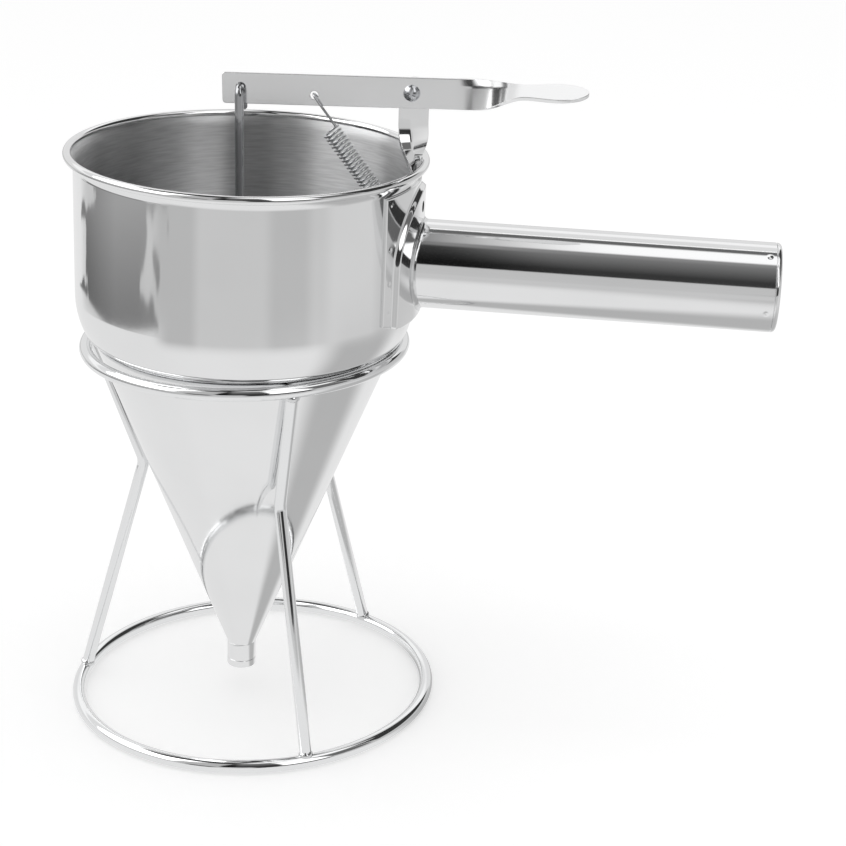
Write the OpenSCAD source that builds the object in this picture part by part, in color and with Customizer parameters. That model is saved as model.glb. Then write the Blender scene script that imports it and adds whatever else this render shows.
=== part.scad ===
// Pancake batter dispenser: a sheet-metal funnel with a thumb-lever valve and a wire stand.
// Millimetres. The origin is on the table at the centre of the stand's base ring, +Z is up
// and the handle points along +X. The funnel leans a little in its stand, handle side down,
// so its pieces are drawn upright about the funnel's own axis, with z = 0 at the underside
// of the bowl's lip, and in_funnel() sets them in the stand.

/* [Stand] */
// Diameter of the base ring, wire centre to wire centre
base_ring_d = 150.5; // [120:0.5:180]
// Wire of the base ring
base_wire_d = 5.5; // [3:0.1:8]
// How far the support ring's wire centre lies outside the round of the bowl's lip
ring_out = 1.67; // [1:0.01:2.2]
// Wire of the support ring
support_wire_d = 5.2; // [3:0.1:7]
// Height of the support ring's wire centre above the table
support_ring_z = 158.6; // [155:0.1:185]
// Wire of the legs
leg_wire_d = 5; // [3:0.1:6]
// Gap between the cone and each leg's kink
kink_gap = 3.9; // [3:0.1:12]
// Distance of each leg's kink below the support ring
kink_drop = 55.6; // [50:0.1:75]
// Bend radius of the kink, at the wire's centre
kink_bend_r = 8; // [5:0.5:14]
// Direction of the left leg, seen from above
leg_left_turn = 177.7; // [170:0.1:190]
// Direction of the front leg
leg_front_turn = 296.7; // [288:0.1:308]
// Direction of the back leg
leg_back_turn = 57.6; // [50:0.1:70]

/* [Funnel] */
// Lean of the funnel in its stand, handle side down
funnel_lean = 2; // [0:0.1:3]
// Gap between the bowl's lip and the support ring where they come closest
seat_gap = 0.3; // [0.2:0.05:1]
// Sheet of the bowl and the cone
sheet = 1; // [0.6:0.05:1.4]
// Outside diameter of the bowl
bowl_d = 137.2; // [134:0.1:142]
// Height of the bowl, from its lip to the centre of its rolled rim
bowl_h = 73.5; // [65:0.5:95]
// Diameter of the rolled rim's roll
rim_roll_d = 3.4; // [2.6:0.1:4.5]
// How far the roll stands out from the bowl's wall
rim_overhang = 3.9; // [3.5:0.1:5]
// Radius of the flare under the roll
rim_flare_r = 5; // [4:0.5:7]
// Radius of the bowl's rounded shoulder
shoulder_r = 34; // [30:0.5:40]
// Height of the shoulder above the lip
shoulder_h = 16.5; // [14:0.5:19]
// Radius of the bowl's turned-in lip
lip_r = 2; // [1.5:0.1:3]
// Flat width of the lip between its round and the cone
lip_flat = 0.5; // [0.45:0.01:1]

/* [Outlet and valve] */
// Height of the outlet's end above the table
outlet_up = 10.9; // [6:0.1:20]
// Outside diameter of the outlet collar
collar_d = 12.3; // [11:0.1:15]
// Length of the outlet collar
collar_h = 11; // [8:0.5:12]
// Bore of the outlet
outlet_bore_d = 9; // [7:0.1:9.5]
// Gap between the closed valve plug and the outlet's edge
valve_gap = 0.3; // [0.2:0.05:0.6]
// Diameter of the valve plug's body
plug_d = 14; // [12:0.5:16]
// Length of the valve plug's nose below the seat
plug_nose_h = 7; // [4:0.5:8]
// Wire of the valve rod
rod_d = 3.6; // [3:0.1:4.5]
// Length of the rod's tail behind the lever
rod_tail_h = 7; // [5:0.5:12]

/* [Handle] */
// Outside diameter of the handle tube
handle_d = 35.5; // [28:0.5:36]
// Wall of the handle tube
handle_wall = 1; // [0.7:0.1:1.5]
// Length of the handle tube beyond the bowl's wall
handle_l = 142.2; // [90:0.1:170]
// Height of the handle's axis above the bowl's shoulder
handle_up = 17; // [15:0.5:20]
// Thickness of the domed end cap
cap_h = 2.2; // [1.5:0.1:3]
// Sheet of the handle plate
plate_sheet = 1; // [0.7:0.1:1.4]
// Half of the angle that the handle plate wraps round the bowl
plate_half_turn = 30; // [29:0.5:36]
// Distance of the handle plate's top edge below the rim's centre
plate_drop = 5.5; // [4:0.5:7]
// How far the handle plate reaches below the handle tube, in the middle
plate_below = 4.75; // [4:0.05:7]
// How much higher the bottom edge is at the plate's sides
plate_bottom_rise = 5.5; // [0:0.5:8]
// Height of the embossed arch over the plate
boss_h = 1.8; // [1:0.1:2.5]
// Distance from the handle tube to the arch's edge, at the arch's round top
boss_margin = 12.75; // [9:0.05:13]
// Height of the arch's centre above the handle's axis
boss_up = 2.5; // [1:0.1:4]
// Width of the sloping band round the arch
boss_band = 2; // [1.5:0.1:4]
// Width of the weld bead round the handle tube
bead_w = 1.8; // [1.5:0.1:3]
// Diameter of the vent hole in the arch
vent_d = 4.5; // [3:0.1:5]
// Direction of the vent hole from the handle's side of the funnel
vent_turn = -3.5; // [-8:0.5:8]
// Distance of the vent hole below the handle plate's top edge
vent_drop = 10; // [9:0.5:12]

/* [Lever] */
// Distance of the lever's pivot in from the bowl's inner wall
pivot_in = 3; // [0:0.1:6]
// Height of the lever's pivot above the rim's centre
pivot_up = 28.5; // [20:0.5:36]
// Rest angle of the lever to the rim, thumb pad up
lever_tilt = 1.9; // [0:0.1:3]
// Width of the lever's strap
lever_w = 12.2; // [11:0.1:15]
// Thickness of the lever's strap
lever_t = 1.5; // [1.2:0.1:2]
// How far the rod's hole lies beyond the funnel's axis, seen from the pivot
rod_past = 2.9; // [0:0.1:5]
// Height of the rod's hole over the line through the pivot
rod_hole_rise = 0.4; // [0:0.1:2]
// Length of strap beyond the rod's hole
lever_tip = 7.4; // [5:0.1:10]
// Distance from the pivot to the spring's hole
spring_arm = 38.4; // [34:0.1:42]
// Depth of the spring's hole under the line through the pivot
spring_hole_drop = 2; // [0:0.1:2.5]
// Distance from the pivot to the start of the twist
twist_start_x = 19; // [14:1:22]
// Distance from the pivot to the end of the twist
twist_end_x = 45; // [40:1:50]
// Angle through which the strap is twisted to carry the thumb pad
pad_twist = 78; // [60:1:90]
// Distance from the pivot to where the strap begins to rise and narrow
rise_start_x = 28; // [24:1:32]
// How far the thumb pad's middle stands above the strap's
pad_lift = 1.5; // [0:0.1:3]
// Distance from the pivot to the narrow neck
neck_x = 44; // [42:1:48]
// Width of the neck
neck_w = 12; // [9:0.5:12]
// Distance from the pivot to the widest place of the thumb pad
pad_x = 57; // [54:1:64]
// Width of the thumb pad
pad_w = 15.5; // [13:0.5:20]
// Distance from the pivot to the end of the thumb pad
pad_end_x = 68.8; // [66:0.1:80]

/* [Pivot and bracket] */
// Shank of the pivot screw
screw_d = 3.9; // [3:0.1:4.5]
// Head of the pivot screw
screw_head_d = 6.6; // [6.2:0.1:8]
// Height of the screw's head
screw_head_h = 2; // [1.6:0.1:2.6]
// Gap between a turning hole and the pin in it, on the radius
turn_gap = 0.06; // [0.02:0.01:0.1]
// Gap between the lever and what it turns against
side_gap = 0.1; // [0.05:0.05:0.3]
// Diameter of the washers
washer_d = 8.6; // [8:0.1:10]
// Thickness of the washers
washer_t = 0.8; // [0.5:0.1:1.2]
// Width of the nut across its flats
nut_w = 7; // [6.5:0.1:8]
// Thickness of the nut
nut_h = 3.2; // [2:0.1:4]
// Width of the bracket's strap
bracket_w = 11.8; // [10:0.1:13]
// Thickness of the bracket's strap
bracket_t = 1.5; // [1.2:0.1:1.6]
// How far the bracket's middle stands out from the pivot
bracket_out = 0.8; // [0:0.1:1.2]
// Distance below the pivot where the bracket's twist begins
twist_top_drop = 10.5; // [9:0.5:15]
// Distance below the rim's centre where the bracket's twist ends
twist_end_drop = 5.5; // [4:0.5:8]
// Distance of the bracket's bent foot below the rim's centre
foot_drop = 22.1; // [18:0.1:26]
// How far the spring's tongue stands in from the bowl's wall
tongue_l = 9; // [8.5:0.5:11]
// Width of the spring's tongue
tongue_w = 8; // [7.5:0.5:11]
// How far the tongue's middle lies behind its hole
tongue_shift = 1; // [0:0.1:1.5]

/* [Spring] */
// Wire of the spring
spring_wire_d = 1; // [0.7:0.05:1.1]
// Outside diameter of the spring's coil
spring_d = 7.8; // [7:0.1:9]
// Pitch of the coil's turns
spring_pitch = 1.67; // [1.5:0.01:1.68]
// Number of turns
spring_turns = 22; // [16:1:23]
// Length of straight wire between the lever's hole and the coil
spring_lead = 14.8; // [12:0.1:16]
// Diameter of the holes that the spring hooks into
spring_hole_d = 3.4; // [3.2:0.1:3.6]
// Distance of the tongue's hole from the bowl's wall
tongue_hole_in = 5.1; // [5:0.1:6]

/* [Hidden] */
$fn = 96;

round_fn = 180;
wire_fn = 48;
spring_fn = 6;
overcut = 1;
joint_full = 0.01;
leg_short = 0.4;

// Bowl: the wall, the shoulder's arc and the lip's arc, as radii in the wall's plane
bowl_r = bowl_d / 2;
bowl_inner_r = bowl_r - sheet;
shoulder_centre_r = bowl_r - shoulder_r;
lip_centre_r = shoulder_centre_r
    + sqrt(pow(shoulder_r - lip_r, 2) - pow(shoulder_h - lip_r, 2));
lip_blend_turn = atan2(shoulder_h - lip_r, lip_centre_r - shoulder_centre_r);
rim_centre_r = bowl_r + rim_overhang - rim_roll_d / 2;
rim_flare_z = bowl_h - rim_flare_r;
rim_flare_turn = 50;

// Seat of the funnel: the lip's arc and the ring's wire are seat_gap apart at the low side
support_r = lip_centre_r + ring_out;
support_ring_d = 2 * support_r;
seat_reach = lip_r + support_wire_d / 2 + seat_gap;
lean_s = sin(funnel_lean);
lean_c = cos(funnel_lean);
lip_centre_up = lean_s * support_r + sqrt(pow(lean_s * support_r, 2)
    - pow(lean_c * lip_centre_r - support_r, 2) - pow(lean_s * lip_centre_r, 2)
    + pow(seat_reach, 2));
lip_up = lip_centre_up - lip_r;

// Cone and outlet: the cone runs from the lip's flat to the collar, which ends above the table
cone_d = 2 * (lip_centre_r - lip_flat);
outlet_z = (outlet_up - support_ring_z) / lean_c - lip_up + collar_h;
cone_slope = (collar_d - cone_d) / 2 / outlet_z;
cone_side_t = sheet / cos(atan(cone_slope));
groove_w = 0.5;
groove_h = 0.25;
groove_up = 3;

// Kinks of the legs, clear of the cone
kink_z = support_ring_z - kink_drop;
kink_r = collar_d / 2 + (kink_z - support_ring_z - lip_up - outlet_z) * cone_slope
    + kink_gap + leg_wire_d / 2;

// Lever
pivot_x = bowl_inner_r - pivot_in;
pivot_z = bowl_h + pivot_up;
rod_arm = pivot_x + rod_past;
function at_lever(x, z) = [
    pivot_x + x * cos(lever_tilt) - z * sin(lever_tilt), 0,
    pivot_z + x * sin(lever_tilt) + z * cos(lever_tilt)];
lever_left_x = -(rod_arm + lever_tip);
lever_corner_r = 1.3;
rod_hole = at_lever(-rod_arm, rod_hole_rise);
spring_hole = at_lever(-spring_arm, -spring_hole_drop);
twist_stations = 34;
station_bias = 1.35;
tip_floor = 0.02;

// Rod: upright in its own frame, with the seat at its foot and its pin across the lever
rod_bend_in = 1;
rod_bend_r = rod_d / 2 + rod_bend_in;
rod_side = lever_t / 2 + 3 * side_gap + rod_bend_r;
rod_rise = sqrt(pow(norm(rod_hole - [0, 0, outlet_z]), 2) - pow(rod_side, 2));
rod_turn_x = atan2(rod_side, rod_rise);
rod_turn_y = atan2(rod_hole[0], rod_hole[2] - outlet_z);
rod_socket_h = 12;
plug_body_z = (plug_d / 2 - (outlet_bore_d / 2 - valve_gap)) / cone_slope;
plug_body_h = 5;
plug_top_h = 5;
plug_top_w = 1.4;
nose_step = 1;
nose_chamfer = 0.8;
seat_relief_w = 0.3;
seat_relief_h = 0.75;
plug_z = plug_body_z + plug_body_h + plug_top_h;

// Handle plate and its arch
plate_gap = 0.02;
plate_r = bowl_r + plate_gap;
plate_outer_r = plate_r + plate_sheet;
handle_z = shoulder_h + handle_up;
handle_end_x = bowl_r + handle_l;
plate_top_z = bowl_h - plate_drop;
plate_bottom_z = handle_z - handle_d / 2 - plate_below;
boss_outer_r = plate_outer_r + boss_h;
boss_r = handle_d / 2 + boss_margin;
boss_z = handle_z + boss_up;
boss_spread = 0.5;
boss_half_w = boss_r + boss_spread;
boss_foot = 1.2;
boss_bottom_z = plate_bottom_z + boss_foot;
vent_z = plate_top_z - vent_drop;
plate_columns = 48;
plate_rows = 32;
cap_skirt_h = 6;
cap_edge_r = 1.8;
seam_w = 0.25;

// Pivot stack, from the screw's head at the front to its end at the back
head_y = -(lever_t / 2 + side_gap);
washer_y = lever_t / 2 + side_gap;
bracket_y = washer_y + washer_t;
back_washer_y = bracket_y + bracket_t;
nut_y = back_washer_y + washer_t;
screw_proud = 0.8;
screw_end_y = nut_y + nut_h + screw_proud;
recess_w = 0.9;
recess_l = 3.6;
recess_h = 1.2;
recess_turn = 20;
bracket_x = pivot_x + bracket_out;
bracket_mid_y = bracket_y + bracket_t / 2;
bracket_twist_top_z = pivot_z - twist_top_drop;
bracket_twist_end_z = bowl_h - twist_end_drop;
bracket_foot_z = bowl_h - foot_drop;
bracket_stations = 26;

// Spring: one straight line joins its two holes, on the coil's own radius
spring_r = (spring_d - spring_wire_d) / 2;
hook_turn = 30;
hook_r = spring_r * sin(hook_turn);
tongue_hole = [bowl_inner_r - tongue_hole_in, -hook_r, bracket_foot_z + bracket_t / 2];
spring_line = [tongue_hole[0] - spring_hole[0], 0, tongue_hole[2] - spring_hole[2]];
spring_span = norm(spring_line);
spring_dir = spring_line / spring_span;
spring_side = [-spring_dir[2], 0, spring_dir[0]];
coil_start = [spring_hole[0], 0, spring_hole[2]] + spring_lead * spring_dir
    - spring_r * cos(hook_turn) * spring_side;
turn_steps = 14;
hook_steps = 8;
hook_tail = 2.5;
lower_hook_r = 2.2;
lower_hook_turn = 190;

// Sets what is drawn about the funnel's axis in the stand
module in_funnel() {
    translate([0, 0, support_ring_z])
        rotate([0, funnel_lean, 0])
            translate([0, 0, lip_up])
                children();
}

// Sets what is drawn about the pivot, with the strap along x, on the funnel
module in_lever() {
    in_funnel()
        translate([pivot_x, 0, pivot_z])
            rotate([0, -lever_tilt, 0])
                children();
}

// Sets what is drawn about the rod's own axis, with z = 0 at the valve's seat
module in_rod() {
    in_funnel()
        translate([0, 0, outlet_z])
            rotate([rod_turn_x, rod_turn_y, 0])
                children();
}

// A pin along y
module pin_y(d, from_y, to_y, sides = wire_fn) {
    translate([0, from_y, 0])
        rotate([-90, 0, 0])
            cylinder(d = d, h = to_y - from_y, $fn = sides);
}

// Fills the joint where two lengths of wire meet, a hair fuller than the wire
module wire_joint(wire_d) {
    sphere(d = wire_d + 2 * joint_full, $fn = wire_fn);
}

// A ring of wire lying flat
module wire_ring(ring_d, wire_d, z) {
    translate([0, 0, z])
        rotate_extrude($fn = round_fn)
            translate([ring_d / 2, 0])
                circle(d = wire_d, $fn = wire_fn);
}

// Joins a list of rings of points, each with the same number, into one closed skin
module skin(rings) {
    sides = len(rings[0]);
    last = (len(rings) - 1) * sides;
    walls = [for (i = [0:len(rings) - 2], j = [0:sides - 1]) let (
        a = i * sides + j, b = i * sides + (j + 1) % sides)
        each [[a, b, b + sides], [a, b + sides, a + sides]]];
    ends = [[for (j = [sides - 1:-1:0]) j], [for (j = [0:sides - 1]) last + j]];
    polyhedron(points = [for (ring = rings) each ring], faces = concat(ends, walls));
}

// A slow start and end between 0 and 1
function ease(t) = let (u = min(1, max(0, t))) u * u * (3 - 2 * u);

// Points along an arc
function arc_points(centre, r, from_turn, to_turn, steps) = [for (k = [0:steps])
    let (turn = from_turn + (to_turn - from_turn) * k / steps)
    centre + r * [cos(turn), sin(turn)]];

// ---- Stand ----

module base_ring() {
    color([0.86, 0.87, 0.88])
        wire_ring(base_ring_d, base_wire_d, base_wire_d / 2);
}

module support_ring() {
    color([0.86, 0.87, 0.88])
        wire_ring(support_ring_d, support_wire_d, support_ring_z);
}

// One leg: up from the base ring, in to the kink and out to the support ring
module leg(turn) {
    foot = [base_ring_d / 2, base_wire_d / 2];
    kink = [kink_r, kink_z];
    top = [support_ring_d / 2, support_ring_z];
    low_turn = atan2(foot[0] - kink[0], kink[1] - foot[1]);
    high_turn = atan2(top[0] - kink[0], top[1] - kink[1]);
    bend = low_turn + high_turn;
    bend_side = kink_bend_r * tan(bend / 2);
    low_h = norm(kink - foot) - bend_side;
    high_h = norm(top - kink) - bend_side;
    color([0.84, 0.85, 0.87])
        difference() {
            rotate([0, 0, turn])
                translate([kink[0], 0, kink[1]]) {
                    rotate([0, 180 - low_turn, 0])
                        translate([0, 0, bend_side]) {
                            cylinder(d = leg_wire_d, h = low_h - leg_short, $fn = wire_fn);
                            wire_joint(leg_wire_d);
                        }
                    rotate([0, high_turn, 0])
                        translate([0, 0, bend_side]) {
                            cylinder(d = leg_wire_d, h = high_h - leg_short, $fn = wire_fn);
                            wire_joint(leg_wire_d);
                        }
                    rotate([0, high_turn, 0])
                        translate([kink_bend_r, 0, bend_side])
                            rotate([90, 0, 0])
                                rotate([0, 0, 180])
                                    rotate_extrude(angle = bend, $fn = round_fn)
                                        translate([kink_bend_r, 0])
                                            circle(d = leg_wire_d, $fn = wire_fn);
                }
            wire_ring(base_ring_d, base_wire_d, base_wire_d / 2);
            wire_ring(support_ring_d, support_wire_d, support_ring_z);
        }
}

module leg_left() {
    leg(leg_left_turn);
}

module leg_front() {
    leg(leg_front_turn);
}

module leg_back() {
    leg(leg_back_turn);
}

// ---- Funnel ----

// The bowl: a drawn cup with a rolled rim, a round shoulder and a turned-in lip
module bowl() {
    shoulder_centre = [shoulder_centre_r, shoulder_h];
    lip_centre = [lip_centre_r, lip_r];
    flare_centre = [bowl_r + rim_flare_r, rim_flare_z];
    outside = concat([[cone_d / 2, 0]],
        arc_points(lip_centre, lip_r, -90, -lip_blend_turn, 8),
        arc_points(shoulder_centre, shoulder_r, -lip_blend_turn, 0, 14),
        arc_points(flare_centre, rim_flare_r, 180, 180 - rim_flare_turn, 10));
    inside = concat([[cone_d / 2 + sheet * cone_slope, sheet]],
        arc_points(lip_centre, lip_r - sheet, -90, -lip_blend_turn, 8),
        arc_points(shoulder_centre, shoulder_r - sheet, -lip_blend_turn, 0, 14),
        arc_points(flare_centre, rim_flare_r + sheet, 180, 180 - rim_flare_turn, 10));
    color([0.8, 0.81, 0.82])
        in_funnel()
            rotate_extrude($fn = round_fn)
                union() {
                    translate([rim_centre_r, bowl_h])
                        circle(d = rim_roll_d, $fn = wire_fn);
                    polygon(concat(outside,
                        [for (k = [len(inside) - 1:-1:0]) inside[k]]));
                }
}

// The cone: a rolled sheet from the bowl's lip down to the outlet
module cone() {
    color([0.86, 0.87, 0.88])
        in_funnel()
            rotate_extrude($fn = round_fn)
                polygon([[collar_d / 2, outlet_z], [cone_d / 2 + sheet * cone_slope, sheet],
                    [cone_d / 2 + sheet * cone_slope - cone_side_t, sheet],
                    [collar_d / 2 - cone_side_t, outlet_z]]);
}

// The short tube at the cone's tip, with a fine groove near its end
module outlet_collar() {
    color([0.82, 0.83, 0.84])
        in_funnel()
            translate([0, 0, outlet_z - collar_h])
                difference() {
                    cylinder(d = collar_d, h = collar_h);
                    translate([0, 0, -overcut])
                        cylinder(d = outlet_bore_d, h = collar_h + 2 * overcut);
                    translate([0, 0, groove_up])
                        difference() {
                            cylinder(d = collar_d + 2 * overcut, h = groove_w);
                            translate([0, 0, -overcut])
                                cylinder(d = collar_d - 2 * groove_h,
                                    h = groove_w + 2 * overcut);
                        }
                }
}

// ---- Handle ----

// How far the arch stands proud at an unrolled place on the plate
function boss_rise(along, z) = let (
    to_side = z > boss_z ? boss_r - norm([along, z - boss_z])
        : boss_half_w - abs(along) - (boss_half_w - boss_r) * ease((z - boss_z) / boss_r + 1),
    inside = min(to_side, z - boss_bottom_z))
    boss_h * ease(inside / boss_band);

// A point on the plate: column and row run from 0 to 1
function plate_point(column, row, skin_r) = let (
    turn = plate_half_turn * (2 * column - 1),
    low = plate_bottom_z + plate_bottom_rise * pow(2 * column - 1, 2),
    z = low + (plate_top_z - low) * row,
    r = skin_r + boss_rise(turn * PI / 180 * plate_outer_r, z))
    [r * cos(turn), r * sin(turn), z];

// The plate between bowl and handle: curved to the bowl, with a pressed arch and a vent
module handle_plate() {
    columns = plate_columns + 1;
    rings = [for (k = [0:plate_rows]) let (row = k / plate_rows) concat(
        [for (i = [0:plate_columns]) plate_point(i / plate_columns, row, plate_outer_r)],
        [for (i = [plate_columns:-1:0]) plate_point(i / plate_columns, row, plate_r)])];
    layer = [for (i = [0:plate_columns - 1]) [i, i + 1, 2 * columns - 2 - i,
        2 * columns - 1 - i]];
    sides = 2 * columns;
    last = plate_rows * sides;
    walls = [for (k = [0:plate_rows - 1], j = [0:sides - 1]) let (
        a = k * sides + j, b = k * sides + (j + 1) % sides)
        each [[a, b + sides, b], [a, a + sides, b + sides]]];
    bottoms = [for (q = layer) each [[q[0], q[1], q[2]], [q[0], q[2], q[3]]]];
    tops = [for (f = bottoms) [last + f[2], last + f[1], last + f[0]]];
    color([0.78, 0.79, 0.8])
        in_funnel()
            difference() {
                polyhedron(points = [for (ring = rings) each ring],
                    faces = concat(bottoms, tops, walls));
                rotate([0, 0, vent_turn])
                    translate([bowl_r - overcut, 0, vent_z])
                        rotate([0, 90, 0])
                            cylinder(d = vent_d, h = boss_outer_r - bowl_r + 3 * overcut,
                                $fn = wire_fn);
            }
}

// The fillet of weld between the arch and the handle tube
module handle_weld_bead() {
    bead_r = handle_d / 2 + bead_w;
    root_x = sqrt(pow(boss_outer_r, 2) - pow(bead_r, 2));
    end_x = boss_outer_r + bead_w;
    color([0.72, 0.73, 0.75])
        in_funnel()
            difference() {
                translate([0, 0, handle_z])
                    rotate([0, 90, 0])
                        rotate_extrude()
                            difference() {
                                translate([0, root_x - overcut])
                                    square([bead_r, end_x - root_x + overcut]);
                                translate([bead_r, end_x])
                                    circle(r = bead_w, $fn = wire_fn);
                                translate([0, root_x - 2 * overcut])
                                    square([handle_d / 2, end_x - root_x + 4 * overcut]);
                            }
                translate([0, 0, plate_bottom_z - 2 * overcut])
                    cylinder(r = boss_outer_r, h = plate_top_z, $fn = round_fn);
            }
}

module handle_tube() {
    color([0.83, 0.84, 0.85])
        in_funnel()
            difference() {
                translate([boss_outer_r / 2, 0, handle_z])
                    rotate([0, 90, 0])
                        difference() {
                            cylinder(d = handle_d, h = handle_end_x - boss_outer_r / 2);
                            translate([0, 0, -overcut])
                                cylinder(d = handle_d - 2 * handle_wall,
                                    h = handle_end_x + overcut);
                        }
                translate([0, 0, plate_bottom_z - 2 * overcut])
                    cylinder(r = boss_outer_r, h = plate_top_z, $fn = round_fn);
            }
}

// The pressed cap that closes the handle: a domed disc with a skirt inside the tube
module handle_end_cap() {
    skirt_r = handle_d / 2 - handle_wall;
    cap_r = handle_d / 2;
    color([0.8, 0.81, 0.82])
        in_funnel()
            translate([handle_end_x, 0, handle_z])
                rotate([0, 90, 0])
                    rotate_extrude()
                        difference() {
                            union() {
                                translate([0, seam_w])
                                    square([cap_r - cap_edge_r, cap_h - seam_w]);
                                translate([0, seam_w])
                                    square([cap_r, cap_h - cap_edge_r - seam_w]);
                                translate([cap_r - cap_edge_r, cap_h - cap_edge_r])
                                    intersection() {
                                        circle(r = cap_edge_r, $fn = wire_fn);
                                        square(cap_edge_r);
                                    }
                                translate([0, -cap_skirt_h])
                                    square([skirt_r, cap_skirt_h + seam_w]);
                            }
                            translate([0, -cap_skirt_h - overcut])
                                square([skirt_r - handle_wall, cap_skirt_h + overcut
                                    + cap_h - handle_wall]);
                        }
}

// ---- Pivot and bracket ----

// Section of the bracket's strap at a height, turned about the strap's own middle
function bracket_section(z) = let (
    turn = 90 * ease((bracket_twist_top_z - z) / (bracket_twist_top_z
        - bracket_twist_end_z)),
    wall_x = sqrt(pow(bowl_inner_r, 2) - pow(bracket_mid_y + bracket_w / 2, 2))
        - bracket_t / 2 - plate_gap,
    mid_x = bracket_x + (wall_x - bracket_x) * turn / 90,
    hw = bracket_w / 2, ht = bracket_t / 2)
    [for (corner = [[-hw, -ht], [hw, -ht], [hw, ht], [-hw, ht]])
        [mid_x + corner[0] * cos(turn) - corner[1] * sin(turn),
        bracket_mid_y + corner[0] * sin(turn) + corner[1] * cos(turn), z]];

// The bracket: a strap that stands behind the lever, turns a quarter and runs down the
// bowl's wall to a tongue for the spring
module lever_bracket() {
    foot_outer = bracket_section(bracket_twist_end_z)[0][0];
    foot_mid = bracket_section(bracket_twist_end_z)[0][0] - bracket_t / 2;
    color([0.82, 0.83, 0.84])
        in_funnel()
            difference() {
                union() {
                    translate([bracket_x, bracket_y, pivot_z])
                        rotate([-90, 0, 0])
                            cylinder(d = bracket_w, h = bracket_t);
                    translate([bracket_x - bracket_w / 2, bracket_y, bracket_twist_top_z])
                        cube([bracket_w, bracket_t, pivot_z - bracket_twist_top_z]);
                    skin([for (k = [0:bracket_stations]) bracket_section(
                        bracket_twist_top_z + (bracket_twist_end_z - bracket_twist_top_z)
                        * k / bracket_stations)]);
                    translate([foot_outer - bracket_t, bracket_mid_y - bracket_w / 2,
                        bracket_foot_z])
                        cube([bracket_t, bracket_w, bracket_twist_end_z - bracket_foot_z]);
                    translate([bowl_inner_r - tongue_l, tongue_shift - hook_r - tongue_w / 2,
                        bracket_foot_z])
                        cube([foot_mid - bowl_inner_r + tongue_l, tongue_w, bracket_t]);
                }
                translate([pivot_x, 0, pivot_z])
                    pin_y(screw_d, bracket_y - overcut, bracket_y + bracket_t + overcut);
                translate([tongue_hole[0], tongue_hole[1], bracket_foot_z - overcut])
                    cylinder(d = spring_hole_d, h = bracket_t + 2 * overcut, $fn = wire_fn);
            }
}

// The screw that the lever turns on: a domed head with a cross recess
module pivot_screw() {
    dome_r = (pow(screw_head_d / 2, 2) + pow(screw_head_h, 2)) / 2 / screw_head_h;
    color([0.7, 0.71, 0.73])
        in_funnel()
            translate([pivot_x, 0, pivot_z]) {
                difference() {
                    translate([0, head_y, 0])
                        rotate([90, 0, 0])
                            intersection() {
                                cylinder(d = screw_head_d, h = screw_head_h, $fn = wire_fn);
                                translate([0, 0, screw_head_h - dome_r])
                                    sphere(r = dome_r);
                            }
                    for (turn = [0, 90])
                        rotate([0, turn + recess_turn, 0])
                            translate([-recess_l / 2, head_y - screw_head_h - overcut,
                                -recess_w / 2])
                                cube([recess_l, recess_h + overcut, recess_w]);
                }
                pin_y(screw_d, head_y, screw_end_y);
            }
}

// A spacer washer between lever and bracket and a plain one under the nut
module pivot_washers() {
    color([0.76, 0.77, 0.78])
        in_funnel()
            translate([pivot_x, 0, pivot_z])
                for (y = [washer_y, back_washer_y])
                    difference() {
                        pin_y(washer_d, y, y + washer_t);
                        pin_y(screw_d, y - overcut, y + washer_t + overcut);
                    }
}

module pivot_nut() {
    color([0.74, 0.75, 0.76])
        in_funnel()
            translate([pivot_x, 0, pivot_z])
                difference() {
                    pin_y(nut_w / cos(30), nut_y, nut_y + nut_h, 6);
                    pin_y(screw_d, nut_y - overcut, nut_y + nut_h + overcut);
                }
}

// ---- Lever ----

// Half of the width of the lever's blade at a distance from the pivot
function blade_half_w(x) = (x < neck_x
    ? lever_w + (neck_w - lever_w) * ease((x - rise_start_x) / (neck_x - rise_start_x))
    : x < pad_x
        ? neck_w + (pad_w - neck_w) * ease((x - neck_x) / (pad_x - neck_x))
        : pad_w * sqrt(max(tip_floor, 1 - pow((x - pad_x) / (pad_end_x - pad_x), 2)))) / 2;

// Section of the blade, turned about its own middle, which rises to the thumb pad
function blade_section(x) = let (
    lift = pad_lift * ease((x - rise_start_x) / (neck_x - rise_start_x)),
    turn = -pad_twist * ease((x - twist_start_x) / (twist_end_x - twist_start_x)),
    hw = blade_half_w(x), ht = lever_t / 2)
    [for (corner = [[-ht, hw], [ht, hw], [ht, -hw], [-ht, -hw]])
        [x, corner[0] * cos(turn) - corner[1] * sin(turn),
        corner[0] * sin(turn) + corner[1] * cos(turn) + lift]];

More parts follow.
